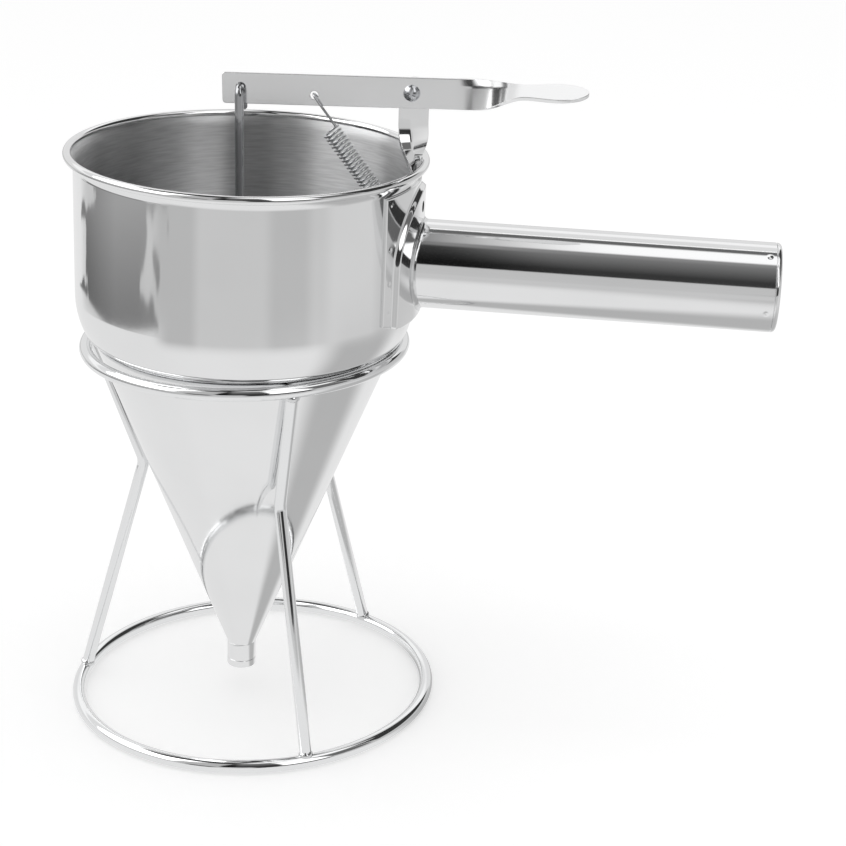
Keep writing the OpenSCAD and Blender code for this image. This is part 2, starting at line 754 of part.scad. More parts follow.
// The lever: a flat strap with three holes, twisted into a thumb pad
module lever() {
    strap_x = twist_start_x;
    color([0.8, 0.81, 0.82])
        in_lever()
            difference() {
                union() {
                    translate([0, lever_t / 2, 0])
                        rotate([90, 0, 0])
                            linear_extrude(height = lever_t)
                                union() {
                                    translate([lever_left_x, lever_corner_r - lever_w / 2])
                                        square([strap_x - lever_left_x,
                                            lever_w - 2 * lever_corner_r]);
                                    translate([lever_left_x + lever_corner_r, -lever_w / 2])
                                        square([strap_x - lever_left_x - lever_corner_r,
                                            lever_w]);
                                    for (side = [-1, 1])
                                        translate([lever_left_x + lever_corner_r,
                                            side * (lever_w / 2 - lever_corner_r)])
                                            circle(r = lever_corner_r, $fn = wire_fn);
                                }
                    skin([for (k = [0:twist_stations]) blade_section(twist_start_x
                        + (pad_end_x - twist_start_x) * (1 - pow(1 - k / twist_stations,
                        station_bias)))]);
                }
                pin_y(screw_d + 2 * turn_gap, -lever_t, lever_t);
                translate([-rod_arm, 0, rod_hole_rise])
                    pin_y(rod_d + 2 * turn_gap, -lever_t, lever_t);
                translate([-spring_arm, 0, -spring_hole_drop])
                    pin_y(spring_hole_d, -lever_t, lever_t);
            }
}

// ---- Spring ----

function coil_point(turn) = coil_start
    + spring_r * cos(turn) * spring_side + [0, spring_r * sin(turn), 0]
    + spring_pitch * (turn + hook_turn) / 360 * spring_dir;

// Centre line of the spring's wire: upper hook, coil and lower hook
upper_centre = [spring_hole[0], 0, spring_hole[2]] + (hook_r - spring_wire_d / 2) * spring_dir;
upper_hook = [for (k = [0:hook_steps]) let (turn = 180 * k / hook_steps)
    upper_centre + hook_r * ([0, cos(turn), 0] - sin(turn) * spring_dir)];
coil_line = [for (k = [0:spring_turns * turn_steps])
    coil_point(360 * k / turn_steps - hook_turn)];
lower_start = [tongue_hole[0], -hook_r, tongue_hole[2]] + lower_hook_r / 2 * spring_dir;
lower_hook = [for (k = [0:hook_steps]) let (
    turn = lower_hook_turn * k / hook_steps)
    lower_start + lower_hook_r * (sin(turn) * spring_dir - (1 - cos(turn)) * spring_side)];
spring_path = concat([upper_hook[0] + hook_tail * spring_dir], upper_hook, coil_line,
    lower_hook);

// Ring of points round the path at one of its points, square to the way the path runs
function wire_ring_points(path, i) = let (
    back = path[max(0, i - 1)],
    ahead = path[min(len(path) - 1, i + 1)],
    way = (ahead - back) / norm(ahead - back),
    lean = cross(way, abs(way * spring_dir) < 0.8 ? spring_dir : [0, 1, 0]),
    side = lean / norm(lean),
    up = cross(side, way))
    [for (k = [0:spring_fn - 1]) let (turn = 360 * k / spring_fn)
        path[i] + spring_wire_d / 2 * (cos(turn) * side + sin(turn) * up)];

// The extension spring that pulls the lever's rod end down and keeps the valve shut
module spring() {
    color([0.75, 0.76, 0.78])
        in_funnel()
            skin([for (i = [0:len(spring_path) - 1]) wire_ring_points(spring_path, i)]);
}

// ---- Rod and valve ----

// A quarter bend of the rod's wire, across the lever, from one direction of its circle
module rod_bend(from_turn) {
    rotate([90, 0, 90])
        rotate([0, 0, from_turn])
            rotate_extrude(angle = 90, $fn = round_fn)
                translate([rod_bend_r, 0])
                    circle(d = rod_d, $fn = wire_fn);
}

// The valve rod: a straight wire, bent through the lever's hole and down behind it
module rod() {
    low_z = plug_z - rod_socket_h;
    high_z = rod_rise - rod_bend_r;
    far_y = 2 * rod_side - rod_bend_r;
    tail_y = 2 * rod_side;
    color([0.78, 0.79, 0.8])
        in_rod() {
            translate([0, 0, low_z])
                cylinder(d = rod_d, h = high_z - low_z, $fn = wire_fn);
            translate([0, rod_bend_r, high_z])
                rod_bend(90);
            translate([0, 0, rod_rise])
                pin_y(rod_d, rod_bend_r, far_y);
            translate([0, far_y, high_z])
                rod_bend(0);
            translate([0, tail_y, high_z - rod_tail_h])
                cylinder(d = rod_d, h = rod_tail_h, $fn = wire_fn);
            for (place = [[0, 0, high_z], [0, rod_bend_r, rod_rise],
                [0, far_y, rod_rise], [0, tail_y, high_z]])
                translate(place)
                    wire_joint(rod_d);
        }
}

// The turned plug on the rod's end: a cone that seats over the outlet, with a nose
module valve_plug() {
    seat_r = outlet_bore_d / 2 - valve_gap;
    nose_r = seat_r - nose_step;
    color([0.7, 0.71, 0.72])
        in_rod()
            difference() {
                rotate_extrude()
                    polygon([[0, -plug_nose_h], [nose_r - nose_chamfer, -plug_nose_h],
                        [nose_r, nose_chamfer - plug_nose_h],
                        [seat_r - seat_relief_w, -seat_relief_h], [seat_r, 0],
                        [plug_d / 2, plug_body_z], [plug_d / 2, plug_body_z + plug_body_h],
                        [rod_d / 2 + plug_top_w, plug_z], [0, plug_z]]);
                translate([0, 0, plug_z - rod_socket_h])
                    cylinder(d = rod_d, h = rod_socket_h + overcut, $fn = wire_fn);
            }
}

base_ring();
support_ring();
leg_left();
leg_front();
leg_back();
bowl();
cone();
outlet_collar();
handle_plate();
handle_weld_bead();
handle_tube();
handle_end_cap();
lever_bracket();
pivot_screw();
pivot_washers();
pivot_nut();
lever();
spring();
rod();
valve_plug();
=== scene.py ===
"""Pancake batter dispenser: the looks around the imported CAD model.

The visible pieces are built here as finer meshes in the places that the CAD solids hold.
Lengths are in millimetres up to the place matrices, which turn them into metres. Pieces of
the funnel are drawn about its own upright axis, with z = 0 at the underside of the lip.
"""

import math

import bmesh
import bpy
from mathutils import Matrix, Vector, noise


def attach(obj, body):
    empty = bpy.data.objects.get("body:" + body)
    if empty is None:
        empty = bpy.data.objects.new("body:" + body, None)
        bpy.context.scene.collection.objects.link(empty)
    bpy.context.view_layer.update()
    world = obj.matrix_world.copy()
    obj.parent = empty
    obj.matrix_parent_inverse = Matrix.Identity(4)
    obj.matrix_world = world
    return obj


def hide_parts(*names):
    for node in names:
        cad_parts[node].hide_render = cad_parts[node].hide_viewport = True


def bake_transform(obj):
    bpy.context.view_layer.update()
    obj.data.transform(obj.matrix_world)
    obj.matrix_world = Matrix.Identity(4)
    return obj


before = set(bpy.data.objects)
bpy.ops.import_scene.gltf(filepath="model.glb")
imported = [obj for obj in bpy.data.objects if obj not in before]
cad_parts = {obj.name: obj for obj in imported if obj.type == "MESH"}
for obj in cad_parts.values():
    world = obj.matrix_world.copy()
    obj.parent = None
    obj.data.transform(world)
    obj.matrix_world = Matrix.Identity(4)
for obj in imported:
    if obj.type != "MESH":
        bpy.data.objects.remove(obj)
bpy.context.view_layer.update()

# ---- Camera: fitted to the photograph, whose frame is square ----

PHOTO_HALF, PHOTO_FOCAL = 423, 2101.31  # half the frame and the focal length, in pixels
CAMERA_AT = (0.15476, -0.80515, 0.43654)
CAMERA_RIGHT = (0.99464, 0.10304, 0.00700)
CAMERA_UP = (-0.04345, 0.35596, 0.93349)
CAMERA_FORWARD = (-0.09370, 0.92880, -0.35853)

lens = bpy.data.cameras.new("photo_camera")
lens.sensor_fit = "HORIZONTAL"
lens.angle = 2 * math.atan(PHOTO_HALF / PHOTO_FOCAL)
lens.clip_start = 0.01
lens.clip_end = 50
camera = bpy.data.objects.new("photo_camera", lens)
bpy.context.scene.collection.objects.link(camera)
camera.matrix_world = Matrix([
    (right, up, -forward, at) for right, up, forward, at
    in zip(CAMERA_RIGHT, CAMERA_UP, CAMERA_FORWARD, CAMERA_AT)] + [(0, 0, 0, 1)])
bpy.context.scene.camera = camera
bpy.context.scene.view_settings.view_transform = "Standard"

# ---- Sizes that several pieces share, as in the part's source ----

SHEET = 1.0
CLEARANCE = 0.02
# The funnel in its ring: its lean, the ring's height, and the lip above the ring's middle
LEAN = math.radians(2)
RING_Z = 158.6
LIP_UP = 4.882
# Bowl and cone
BOWL_R = 68.6
BOWL_H = 73.5
CONE_R = 62.626
OUTLET_Z = -141.672
COLLAR_R = 6.15
BORE_R = 4.5
# Handle: the tube's radius, its axis above the lip, and its end from the funnel's axis
HANDLE_R = 17.75
HANDLE_Z = 33.5
HANDLE_END = 210.8
TUBE_WALL = 1.0
# Handle plate: its radii, and the outermost one on the embossed arch
PLATE_R = BOWL_R + CLEARANCE
PLATE_OUT = PLATE_R + SHEET
BOSS_H = 1.8
BOSS_OUT = PLATE_OUT + BOSS_H
# Lever: its pivot, its tilt at rest, its strap, and the place of its spring hole
PIVOT_X = 64.6
PIVOT_Z = 102.0
TILT = math.radians(1.9)
LEVER_W = 12.2
LEVER_T = 1.5
SPRING_HOLE_X, SPRING_HOLE_Z = -38.4, -2.0
# Bracket: its strap's middle and width, its tongue's height, and the hole in the tongue
BRACKET_Y = 2.4
BRACKET_W = 11.8
BRACKET_FOOT = 52.15
TONGUE_HOLE_X, TONGUE_HOLE_Y = 62.5, -1.7
# Rod: its radius, and how it hangs aslant between its seat and the lever
ROD_R = 1.8
ROD_BACK = math.radians(-0.6814)
ROD_ASIDE = math.radians(0.9121)

MM = 0.001
TO_STAND = Matrix.Scale(MM, 4)
TO_FUNNEL = (Matrix.Translation((0, 0, RING_Z * MM)) @ Matrix.Rotation(LEAN, 4, "Y")
             @ Matrix.Translation((0, 0, LIP_UP * MM)) @ TO_STAND)
LEVER_IN_FUNNEL = Matrix.Translation((PIVOT_X, 0, PIVOT_Z)) @ Matrix.Rotation(-TILT, 4, "Y")
TO_LEVER = TO_FUNNEL @ LEVER_IN_FUNNEL
TO_ROD = (TO_FUNNEL @ Matrix.Translation((0, 0, OUTLET_Z))
          @ Matrix.Rotation(ROD_BACK, 4, "Y") @ Matrix.Rotation(ROD_ASIDE, 4, "X"))
TO_HANDLE = (TO_FUNNEL @ Matrix.Translation((0, 0, HANDLE_Z))
             @ Matrix.Rotation(math.radians(90), 4, "Y"))

# ---- Materials ----

CLOUD_SCALE, WAVE_SCALE = 26, 34
LINE_DEPTH, WAVE_DEPTH = 0.0001, 0.001
BRUSH_TURN = 0.25  # turns the long highlights across the brushing


def node(tree, kind, **values):
    made = tree.nodes.new(kind)
    for key, value in values.items():
        setattr(made, key, value)
    return made


def grain(tree, scale, detail, stretch):
    """Noise stretched along the axes, the base of brushing, drawing lines and smudges."""
    coord = node(tree, "ShaderNodeTexCoord")
    mapping = node(tree, "ShaderNodeMapping")
    mapping.inputs["Scale"].default_value = stretch
    made = node(tree, "ShaderNodeTexNoise")
    made.inputs["Scale"].default_value = scale
    made.inputs["Detail"].default_value = detail
    tree.links.new(coord.outputs["Object"], mapping.inputs["Vector"])
    tree.links.new(mapping.outputs["Vector"], made.inputs["Vector"])
    return made.outputs["Fac"]


def ranged(tree, value, to_low, to_high, low=0.0, high=1.0):
    """low..high turned into to_low..to_high, held at its ends."""
    made = node(tree, "ShaderNodeMapRange")
    for key, number in (("From Min", low), ("From Max", high), ("To Min", to_low),
                        ("To Max", to_high)):
        made.inputs[key].default_value = number
    tree.links.new(value, made.inputs["Value"])
    return made.outputs["Result"]


def bump_node(tree, height, strength, depth):
    made = node(tree, "ShaderNodeBump")
    made.inputs["Strength"].default_value = strength
    made.inputs["Distance"].default_value = depth
    tree.links.new(height, made.inputs["Height"])
    return made


def metal(name, colour, rough, spread, lines, line_scale, bump, tint=0.03, smudge=0.0,
          anisotropic=0.0, wave=0.0, streak=0.0):
    """Bare metal with fine lines, faint smudges and, where given, brushing."""
    mat = bpy.data.materials.new(name)
    mat.use_nodes = True
    tree = mat.node_tree
    tree.nodes.clear()
    out = node(tree, "ShaderNodeOutputMaterial")
    shader = node(tree, "ShaderNodeBsdfPrincipled")
    shader.inputs["Metallic"].default_value = 1.0
    tree.links.new(shader.outputs["BSDF"], out.inputs["Surface"])
    fine = grain(tree, line_scale, 3, lines)
    soft = grain(tree, CLOUD_SCALE, 4, (1, 1, 1))
    # Colour: a slight cloudiness of the polish, and the lines where they are strong
    ramp = node(tree, "ShaderNodeValToRGB")
    ramp.color_ramp.elements[0].color = [c * (1 - tint) for c in colour] + [1]
    ramp.color_ramp.elements[1].color = list(colour) + [1]
    ramp.color_ramp.elements[0].position = 0.3
    ramp.color_ramp.elements[1].position = 0.62
    tree.links.new(soft, ramp.inputs["Fac"])
    streaks = node(tree, "ShaderNodeHueSaturation")
    tree.links.new(ramp.outputs["Color"], streaks.inputs["Color"])
    tree.links.new(ranged(tree, fine, 1 - streak, 1 + streak / 2), streaks.inputs["Value"])
    tree.links.new(streaks.outputs["Color"], shader.inputs["Base Color"])
    # Roughness: lines and smudges together
    mixed = node(tree, "ShaderNodeMath", operation="MULTIPLY_ADD")
    tree.links.new(soft, mixed.inputs[0])
    mixed.inputs[1].default_value = smudge
    tree.links.new(ranged(tree, fine, rough - spread / 2, rough + spread / 2),
                   mixed.inputs[2])
    tree.links.new(mixed.outputs[0], shader.inputs["Roughness"])
    if anisotropic:
        shader.inputs["Anisotropic"].default_value = anisotropic
        shader.inputs["Anisotropic Rotation"].default_value = BRUSH_TURN
        tangent = node(tree, "ShaderNodeTangent", direction_type="RADIAL", axis="Z")
        tree.links.new(tangent.outputs["Tangent"], shader.inputs["Tangent"])
    # Bump: the lines themselves, and where given the sheet's slow unevenness
    scratches = bump_node(tree, fine, bump, LINE_DEPTH)
    if wave:
        slow = bump_node(tree, grain(tree, WAVE_SCALE, 1, (1, 1, 0.8)), wave, WAVE_DEPTH)
        tree.links.new(slow.outputs["Normal"], scratches.inputs["Normal"])
    tree.links.new(scratches.outputs["Normal"], shader.inputs["Normal"])
    return mat


chrome = metal("chromed_wire", (0.88, 0.885, 0.89), 0.07, 0.03, (1, 1, 1), 700, 0.03)
polished = metal("polished_sheet", (0.87, 0.872, 0.875), 0.045, 0.02, (1, 1, 1), 500, 0.01,
                 smudge=0.03, wave=0.05)
cone_skin = metal("polished_cone", (0.88, 0.882, 0.885), 0.06, 0.02, (1, 1, 0.1), 500, 0.02,
                  smudge=0.02, wave=0.05)
brushed = metal("brushed_inside", (0.81, 0.812, 0.816), 0.44, 0.08, (1, 1, 14), 90, 0.3,
                tint=0.06, anisotropic=1.0, streak=0.35)
handle_skin = metal("polished_tube", (0.87, 0.872, 0.876), 0.06, 0.02, (0.04, 1, 1), 900,
                    0.012, smudge=0.03)
weld = metal("weld_metal", (0.80, 0.805, 0.81), 0.12, 0.10, (1, 1, 1), 1500, 0.2, tint=0.2)
satin = metal("satin_strap", (0.92, 0.922, 0.926), 0.20, 0.04, (0.03, 1, 1), 1400, 0.03,
              anisotropic=0.5)
bright_strap = metal("polished_strap", (0.95, 0.952, 0.955), 0.06, 0.02, (0.1, 1, 1), 900,
                     0.015, smudge=0.02)
spring_steel = metal("spring_wire", (0.58, 0.586, 0.596), 0.13, 0.05, (1, 1, 1), 2500, 0.06)
rod_steel = metal("drawn_rod", (0.44, 0.445, 0.455), 0.10, 0.05, (1, 1, 0.03), 2200, 0.05)
screw_steel = metal("fastener_steel", (0.62, 0.63, 0.65), 0.22, 0.10, (1, 1, 1), 2500, 0.12,
                    tint=0.1)
turned = metal("turned_steel", (0.74, 0.745, 0.755), 0.20, 0.08, (1, 1, 60), 500, 0.1)

# ---- Mesh tools ----

SHARP = 38          # edges that turn by more degrees than this stay sharp
ROUND_SHARP = 60    # the same for pieces with coarse rounds, which have to look smooth
ROLLED_SHARP = 50   # and for those with rolled edges
HOLE_STEPS = 48
BOWL_STEPS = 288
DOME_DEPTH = 0.7    # of a wire's domed end, as a share of its radius
DOME_LIFTS = (0, 22.5, 45, 67.5)


def ease(t):
    """A slow start and end between 0 and 1."""
    u = min(1.0, max(0.0, t))
    return u * u * (3 - 2 * u)


def add_piece(name, verts, faces, place, materials, body, nodes=(), picks=None,
              sharp=SHARP):
    """A closed mesh as a piece on a body, standing for CAD nodes."""
    mesh = bpy.data.meshes.new(name)
    mesh.from_pydata([place @ Vector(v) for v in verts], [], faces)
    for mat in materials:
        mesh.materials.append(mat)
    if picks:
        mesh.polygons.foreach_set("material_index", picks)
    shell = bmesh.new()
    shell.from_mesh(mesh)
    bmesh.ops.recalc_face_normals(shell, faces=shell.faces)
    shell.to_mesh(mesh)
    shell.free()
    return place_piece(name, mesh, body, nodes, sharp)


def place_piece(name, mesh, body, nodes, sharp):
    """A finished mesh in the scene, shaded, riding its body where it has one."""
    mesh.shade_smooth()
    mesh.set_sharp_from_angle(angle=math.radians(sharp))
    piece = bpy.data.objects.new(name, mesh)
    bpy.context.scene.collection.objects.link(piece)
    if body:
        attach(piece, body)
    if nodes:
        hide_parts(*nodes)
    return piece


def lathe(profile, steps, picks=None):
    """Vertices, faces and material picks of a closed profile of (r, z) turned about z."""
    verts, ring_of = [], []
    for r, z in profile:
        if r < 1e-6:
            ring_of.append([len(verts)] * steps)
            verts.append((0, 0, z))
        else:
            ring_of.append(list(range(len(verts), len(verts) + steps)))
            verts += [(r * math.cos(2 * math.pi * k / steps),
                       r * math.sin(2 * math.pi * k / steps), z) for k in range(steps)]
    faces, chosen = [], []
    for i, low in enumerate(ring_of):
        high = ring_of[(i + 1) % len(ring_of)]
        for k in range(steps):
            m = (k + 1) % steps
            corners = list(dict.fromkeys([low[k], low[m], high[m], high[k]]))
            if len(corners) > 2:
                faces.append(corners)
                chosen.append(picks[i] if picks else 0)
    return verts, faces, chosen


def add_turned(name, profile, steps, place, material, body, nodes, sharp=SHARP):
    """A piece of one material, its closed profile of (r, z) turned about z."""
    verts, faces, _ = lathe(profile, steps)
    return add_piece(name, verts, faces, place, [material], body, nodes, sharp=sharp)


def arc(centre, r, start, end, steps):
    """Points along an arc, its angles in degrees."""
    return [(centre[0] + r * math.cos(math.radians(start + (end - start) * k / steps)),
             centre[1] + r * math.sin(math.radians(start + (end - start) * k / steps)))
            for k in range(steps + 1)]


def rounded(points, r, steps):
    """A closed outline with each corner rounded off, except those on the axis."""
    made = []
    count = len(points)
    for i, here in enumerate(points):
        back = Vector(points[i - 1]) - Vector(here)
        ahead = Vector(points[(i + 1) % count]) - Vector(here)
        cut = min(r, back.length * 0.45, ahead.length * 0.45)
        if here[0] < 1e-6 or cut < 1e-4:
            made.append(tuple(here))
            continue
        a = Vector(here) + back.normalized() * cut
        b = Vector(here) + ahead.normalized() * cut
        for k in range(steps + 1):
            t = k / steps
            mid = a * (1 - t) ** 2 + Vector(here) * 2 * t * (1 - t) + b * t * t
            made.append((mid.x, mid.y))
    return made


def sweep(path, radius, sides, closed=False):
    """A round wire along a path. Where the path is open, the wire's ends are domed."""
    path = [Vector(p) for p in path]
    count = len(path)
    ways = []
    for i in range(count):
        ahead = path[(i + 1) % count] if closed or i < count - 1 else path[i]
        back = path[i - 1] if closed or i else path[i]
        ways.append((ahead - back).normalized())
    side = ways[0].orthogonal().normalized()
    rings, verts, faces = [], [], []

    def ring(centre, way, r):
        nonlocal side
        side = (side - way * side.dot(way)).normalized()
        up = way.cross(side)
        start = len(verts)
        for k in range(sides):
            turn = 2 * math.pi * k / sides
            verts.append(centre + r * (math.cos(turn) * side + math.sin(turn) * up))
        rings.append(list(range(start, start + sides)))

    def dome(tip, way, inward, lifts):
        for lift in lifts:
            rise = math.radians(lift)
            ring(tip + inward * radius * DOME_DEPTH * (1 - math.sin(rise)), way,
                 radius * math.cos(rise))

    if closed:
        for centre, way in zip(path, ways):
            ring(centre, way, radius)
    else:
        dome(path[0], ways[0], ways[0], reversed(DOME_LIFTS))
        for centre, way in zip(path[1:-1], ways[1:-1]):
            ring(centre, way, radius)
        dome(path[-1], ways[-1], -ways[-1], DOME_LIFTS)
    for low, high in zip(rings, rings[1:] + ([rings[0]] if closed else [])):
        for k in range(sides):
            m = (k + 1) % sides
            faces.append([low[k], low[m], high[m], high[k]])
    if not closed:
        faces += [rings[0][::-1], rings[-1]]
    return verts, faces


def bent(corners, radius, steps):
    """A path through corners, each of its bends rounded to one radius."""
    points = [Vector(corners[0])]
    for i in range(1, len(corners) - 1):
        here = Vector(corners[i])
        back = (Vector(corners[i - 1]) - here).normalized()
        ahead = (Vector(corners[i + 1]) - here).normalized()
        half = back.angle(ahead) / 2
        reach = radius / math.tan(half)
        centre = here + (back + ahead).normalized() * radius / math.sin(half)
        a = here + back * reach - centre
        b = here + ahead * reach - centre
        whole = a.angle(b)
        for k in range(steps + 1):
            t = k / steps
            points.append(centre + (a * math.sin(whole * (1 - t)) + b * math.sin(whole * t))
                          / math.sin(whole))
    points.append(Vector(corners[-1]))
    return points


def strap(name, outline, holes, thick, edge, stations, shape, place, materials, body, nodes,
          pick=None):
    """A flat strap with round holes and rolled edges, cut across and then bent to shape."""
    curve = bpy.data.curves.new(name, "CURVE")
    curve.dimensions = "2D"
    curve.fill_mode = "BOTH"
    curve.extrude = thick / 2 - edge
    curve.bevel_depth = edge
    curve.bevel_resolution = 2
    curve.offset = -edge
    rings = [outline]
    rings += [[(x + r * math.cos(2 * math.pi * k / HOLE_STEPS),
                z + r * math.sin(2 * math.pi * k / HOLE_STEPS)) for k in range(HOLE_STEPS)]
              for x, z, r in holes]
    for ring in rings:
        spline = curve.splines.new("POLY")
        spline.points.add(len(ring) - 1)
        for point, (x, z) in zip(spline.points, ring):
            point.co = (x, z, 0, 1)
        spline.use_cyclic_u = True
    flat = bpy.data.objects.new(name + "_flat", curve)
    bpy.context.scene.collection.objects.link(flat)
    bpy.context.view_layer.update()
    graph = bpy.context.evaluated_depsgraph_get()
    mesh = bpy.data.meshes.new_from_object(flat.evaluated_get(graph))
    bpy.data.objects.remove(flat)
    cut = bmesh.new()
    cut.from_mesh(mesh)
    bmesh.ops.remove_doubles(cut, verts=cut.verts, dist=0.001)
    bmesh.ops.dissolve_limit(cut, angle_limit=math.radians(0.5), verts=cut.verts,
                             edges=cut.edges)
    for x in stations:
        bmesh.ops.bisect_plane(cut, geom=cut.verts[:] + cut.edges[:] + cut.faces[:],
                               plane_co=(x, 0, 0), plane_no=(1, 0, 0), dist=0.0005)
    if pick:
        for face in cut.faces:
            face.material_index = pick(face.calc_center_median())
    for vert in cut.verts:
        vert.co = place @ Vector(shape(vert.co))
    bmesh.ops.recalc_face_normals(cut, faces=cut.faces)
    cut.to_mesh(mesh)
    cut.free()
    mesh.name = name
    mesh.materials.clear()
    for mat in materials:
        mesh.materials.append(mat)
    piece = place_piece(name, mesh, body, nodes, ROLLED_SHARP)
    even = piece.modifiers.new("even", "WEIGHTED_NORMAL")
    even.keep_sharp = True
    return piece


# ---- Stand ----

BASE_R, BASE_Z, BASE_WIRE = 75.24, 2.75, 2.735
HOLD_R, HOLD_WIRE = 64.8, 2.6
LEG_WIRE = 2.5
LEG_TURNS = (("left", 177.7), ("front", 296.7), ("back", 57.6))
KINK = (44.92, 103.0)
KINK_BEND = 8.0
FOOT_IN, TOP_IN = 1.2, 1.0          # where a leg's wire starts, from the middle of the ring's
FOOT_BEAD, TOP_BEAD = 2.6, 2.4      # where its weld beads lie, likewise
BEAD_R, BEAD_H, BEAD_ROUGH = 3.05, 2.2, 0.06


def wire_ring(name, r, wire, z, cad_node):
    path = [(r * math.cos(2 * math.pi * k / 240), r * math.sin(2 * math.pi * k / 240), z)
            for k in range(240)]
    verts, faces = sweep(path, wire, 28, closed=True)
    add_piece(name, verts, faces, TO_STAND, [chrome], "stand", [cad_node])


def leg_wire(leg, turn):
    """A leg from ring to ring, bent at its kink."""
    around = Matrix.Rotation(math.radians(turn), 4, "Z")
    corners = [around @ Vector((r, 0, z)) for r, z in ((BASE_R, BASE_Z), KINK, (HOLD_R, RING_Z))]
    line = bent(corners, KINK_BEND, 14)
    line[0] = line[0] + (line[1] - line[0]).normalized() * FOOT_IN
    line[-1] = line[-1] + (line[-2] - line[-1]).normalized() * TOP_IN
    verts, faces = sweep(line, LEG_WIRE, 28)
    add_piece("leg_wire_" + leg, verts, faces, TO_STAND, [chrome], "stand", ["leg_" + leg])


def leg_welds(leg, turn):
    """The small weld beads where a leg meets the rings."""
    around = Matrix.Rotation(math.radians(turn), 4, "Z")
    profile = [(0, -BEAD_H)]
    profile += [(BEAD_R * math.cos(math.radians(t)), BEAD_H * math.sin(math.radians(t)))
                for t in range(-80, 90, 10)]
    profile += [(0, BEAD_H)]
    kink = Vector((KINK[0], 0, KINK[1]))
    for end, at, reach in (("foot", Vector((BASE_R, 0, BASE_Z)), FOOT_BEAD),
                           ("top", Vector((HOLD_R, 0, RING_Z)), TOP_BEAD)):
        way = (kink - at).normalized()
        centre = at + way * reach
        lean = way.to_track_quat("Z", "Y").to_matrix().to_4x4()
        verts, faces, _ = lathe(profile, 40)
        verts = [Vector(v) * (1 + BEAD_ROUGH * noise.noise(Vector(v) * 0.9 + centre))
                 for v in verts]
        add_piece("weld_" + end + "_" + leg, verts, faces,
                  TO_STAND @ around @ Matrix.Translation(centre) @ lean, [weld], "stand")


wire_ring("base_ring_wire", BASE_R, BASE_WIRE, BASE_Z, "base_ring")
wire_ring("support_ring_wire", HOLD_R, HOLD_WIRE, RING_Z, "support_ring")
for leg, turn in LEG_TURNS:
    leg_wire(leg, turn)
for leg, turn in LEG_TURNS:
    leg_welds(leg, turn)

# ---- Bowl ----

RIM_R, RIM_ROLL, ROLL_FROM, ROLL_TO = 70.8, 1.7, -62, 236
FLARE_R, FLARE_TURN, FLARE_TUCK = 5.0, 50, 6
SHOULDER_R, SHOULDER_H = 34.0, 16.5
LIP_R, LIP_CENTRE, LIP_BLEND, LIP_TUCK = 2.0, 63.126, 26.94, 0.4


def wall_side(lip_start, inset, lip_steps, flare_end):
    """One side of the bowl's wall, from the lip over the shoulder up into the flare."""
    return ([lip_start]
            + arc((LIP_CENTRE, LIP_R), LIP_R - inset, -90, -LIP_BLEND, lip_steps)
            + arc((BOWL_R - SHOULDER_R, SHOULDER_H), SHOULDER_R - inset, -LIP_BLEND, 0, 22)
            + arc((BOWL_R + FLARE_R, BOWL_H - FLARE_R), FLARE_R + inset, 180, flare_end, 12))


outside = wall_side((CONE_R, 0), 0, 10, 180 - FLARE_TURN)
roll = arc((RIM_R, BOWL_H), RIM_ROLL, ROLL_FROM, ROLL_TO, 30)
inside = wall_side((CONE_R + LIP_TUCK, SHEET), SHEET, 8, 180 - FLARE_TURN + FLARE_TUCK)
profile = outside + roll + inside[::-1]
brushed_from = len(outside) + len(roll) - 3  # just inside the rolled rim
picks = [1 if brushed_from <= i < len(profile) - 1 else 0 for i in range(len(profile))]
verts, faces, chosen = lathe(profile, BOWL_STEPS, picks)
add_piece("bowl_shell", verts, faces, TO_FUNNEL, [polished, brushed], "funnel", ["bowl"],
          chosen, ROUND_SHARP)

# ---- Cone and collar ----

CONE_SLOPE = 0.39864
CONE_STEPS = 40
COLLAR_H = 11.0
GROOVE_LOW, GROOVE_TOP, GROOVE_IN = 8.0, 7.5, 0.25
COLLAR_ROUND = 0.25

side_wall = SHEET / math.cos(math.atan(CONE_SLOPE))
outside = [(COLLAR_R, OUTLET_Z)]
outside += [(COLLAR_R + (CONE_R - CLEARANCE - COLLAR_R) * k / CONE_STEPS,
             OUTLET_Z - OUTLET_Z * k / CONE_STEPS) for k in range(1, CONE_STEPS + 1)]
inside = [(r - side_wall, z) for r, z in outside]
verts, faces, chosen = lathe(outside + inside[::-1], BOWL_STEPS,
                             [0] * len(outside) + [1] * len(inside))
add_piece("cone_shell", verts, faces, TO_FUNNEL, [cone_skin, brushed], "funnel", ["cone"],
          chosen)

add_turned("outlet_tube", rounded([
    (BORE_R, OUTLET_Z), (BORE_R, OUTLET_Z - COLLAR_H), (COLLAR_R, OUTLET_Z - COLLAR_H),
    (COLLAR_R, OUTLET_Z - GROOVE_LOW), (COLLAR_R - GROOVE_IN, OUTLET_Z - GROOVE_LOW),
    (COLLAR_R - GROOVE_IN, OUTLET_Z - GROOVE_TOP), (COLLAR_R, OUTLET_Z - GROOVE_TOP),
    (COLLAR_R, OUTLET_Z)], COLLAR_ROUND, 3),
    96, TO_FUNNEL, cone_skin, "funnel", ["outlet_collar"])

# ---- Handle plate ----

PLATE_TURN = 30
PLATE_TOP, PLATE_LOW, PLATE_RISE = 68.0, 11.0, 5.5
BOSS_R, BOSS_Z, BOSS_BAND, BOSS_FOOT, BOSS_SPREAD = 30.5, 36.0, 2.0, 1.2, 0.5
SPOT_TURN, SPOTS = 27.2, (65.2, 47.2, 33.6, 21.2)
SPOT_R, SPOT_DEPTH = 0.9, 0.14
EDGE_WIDE, EDGE_DROP = 0.5, 0.3
VENT_R, VENT_Z, VENT_TURN, VENT_DEPTH = 2.25, 58, math.radians(-3.5), 8
COLUMNS, ROWS = 230, 180


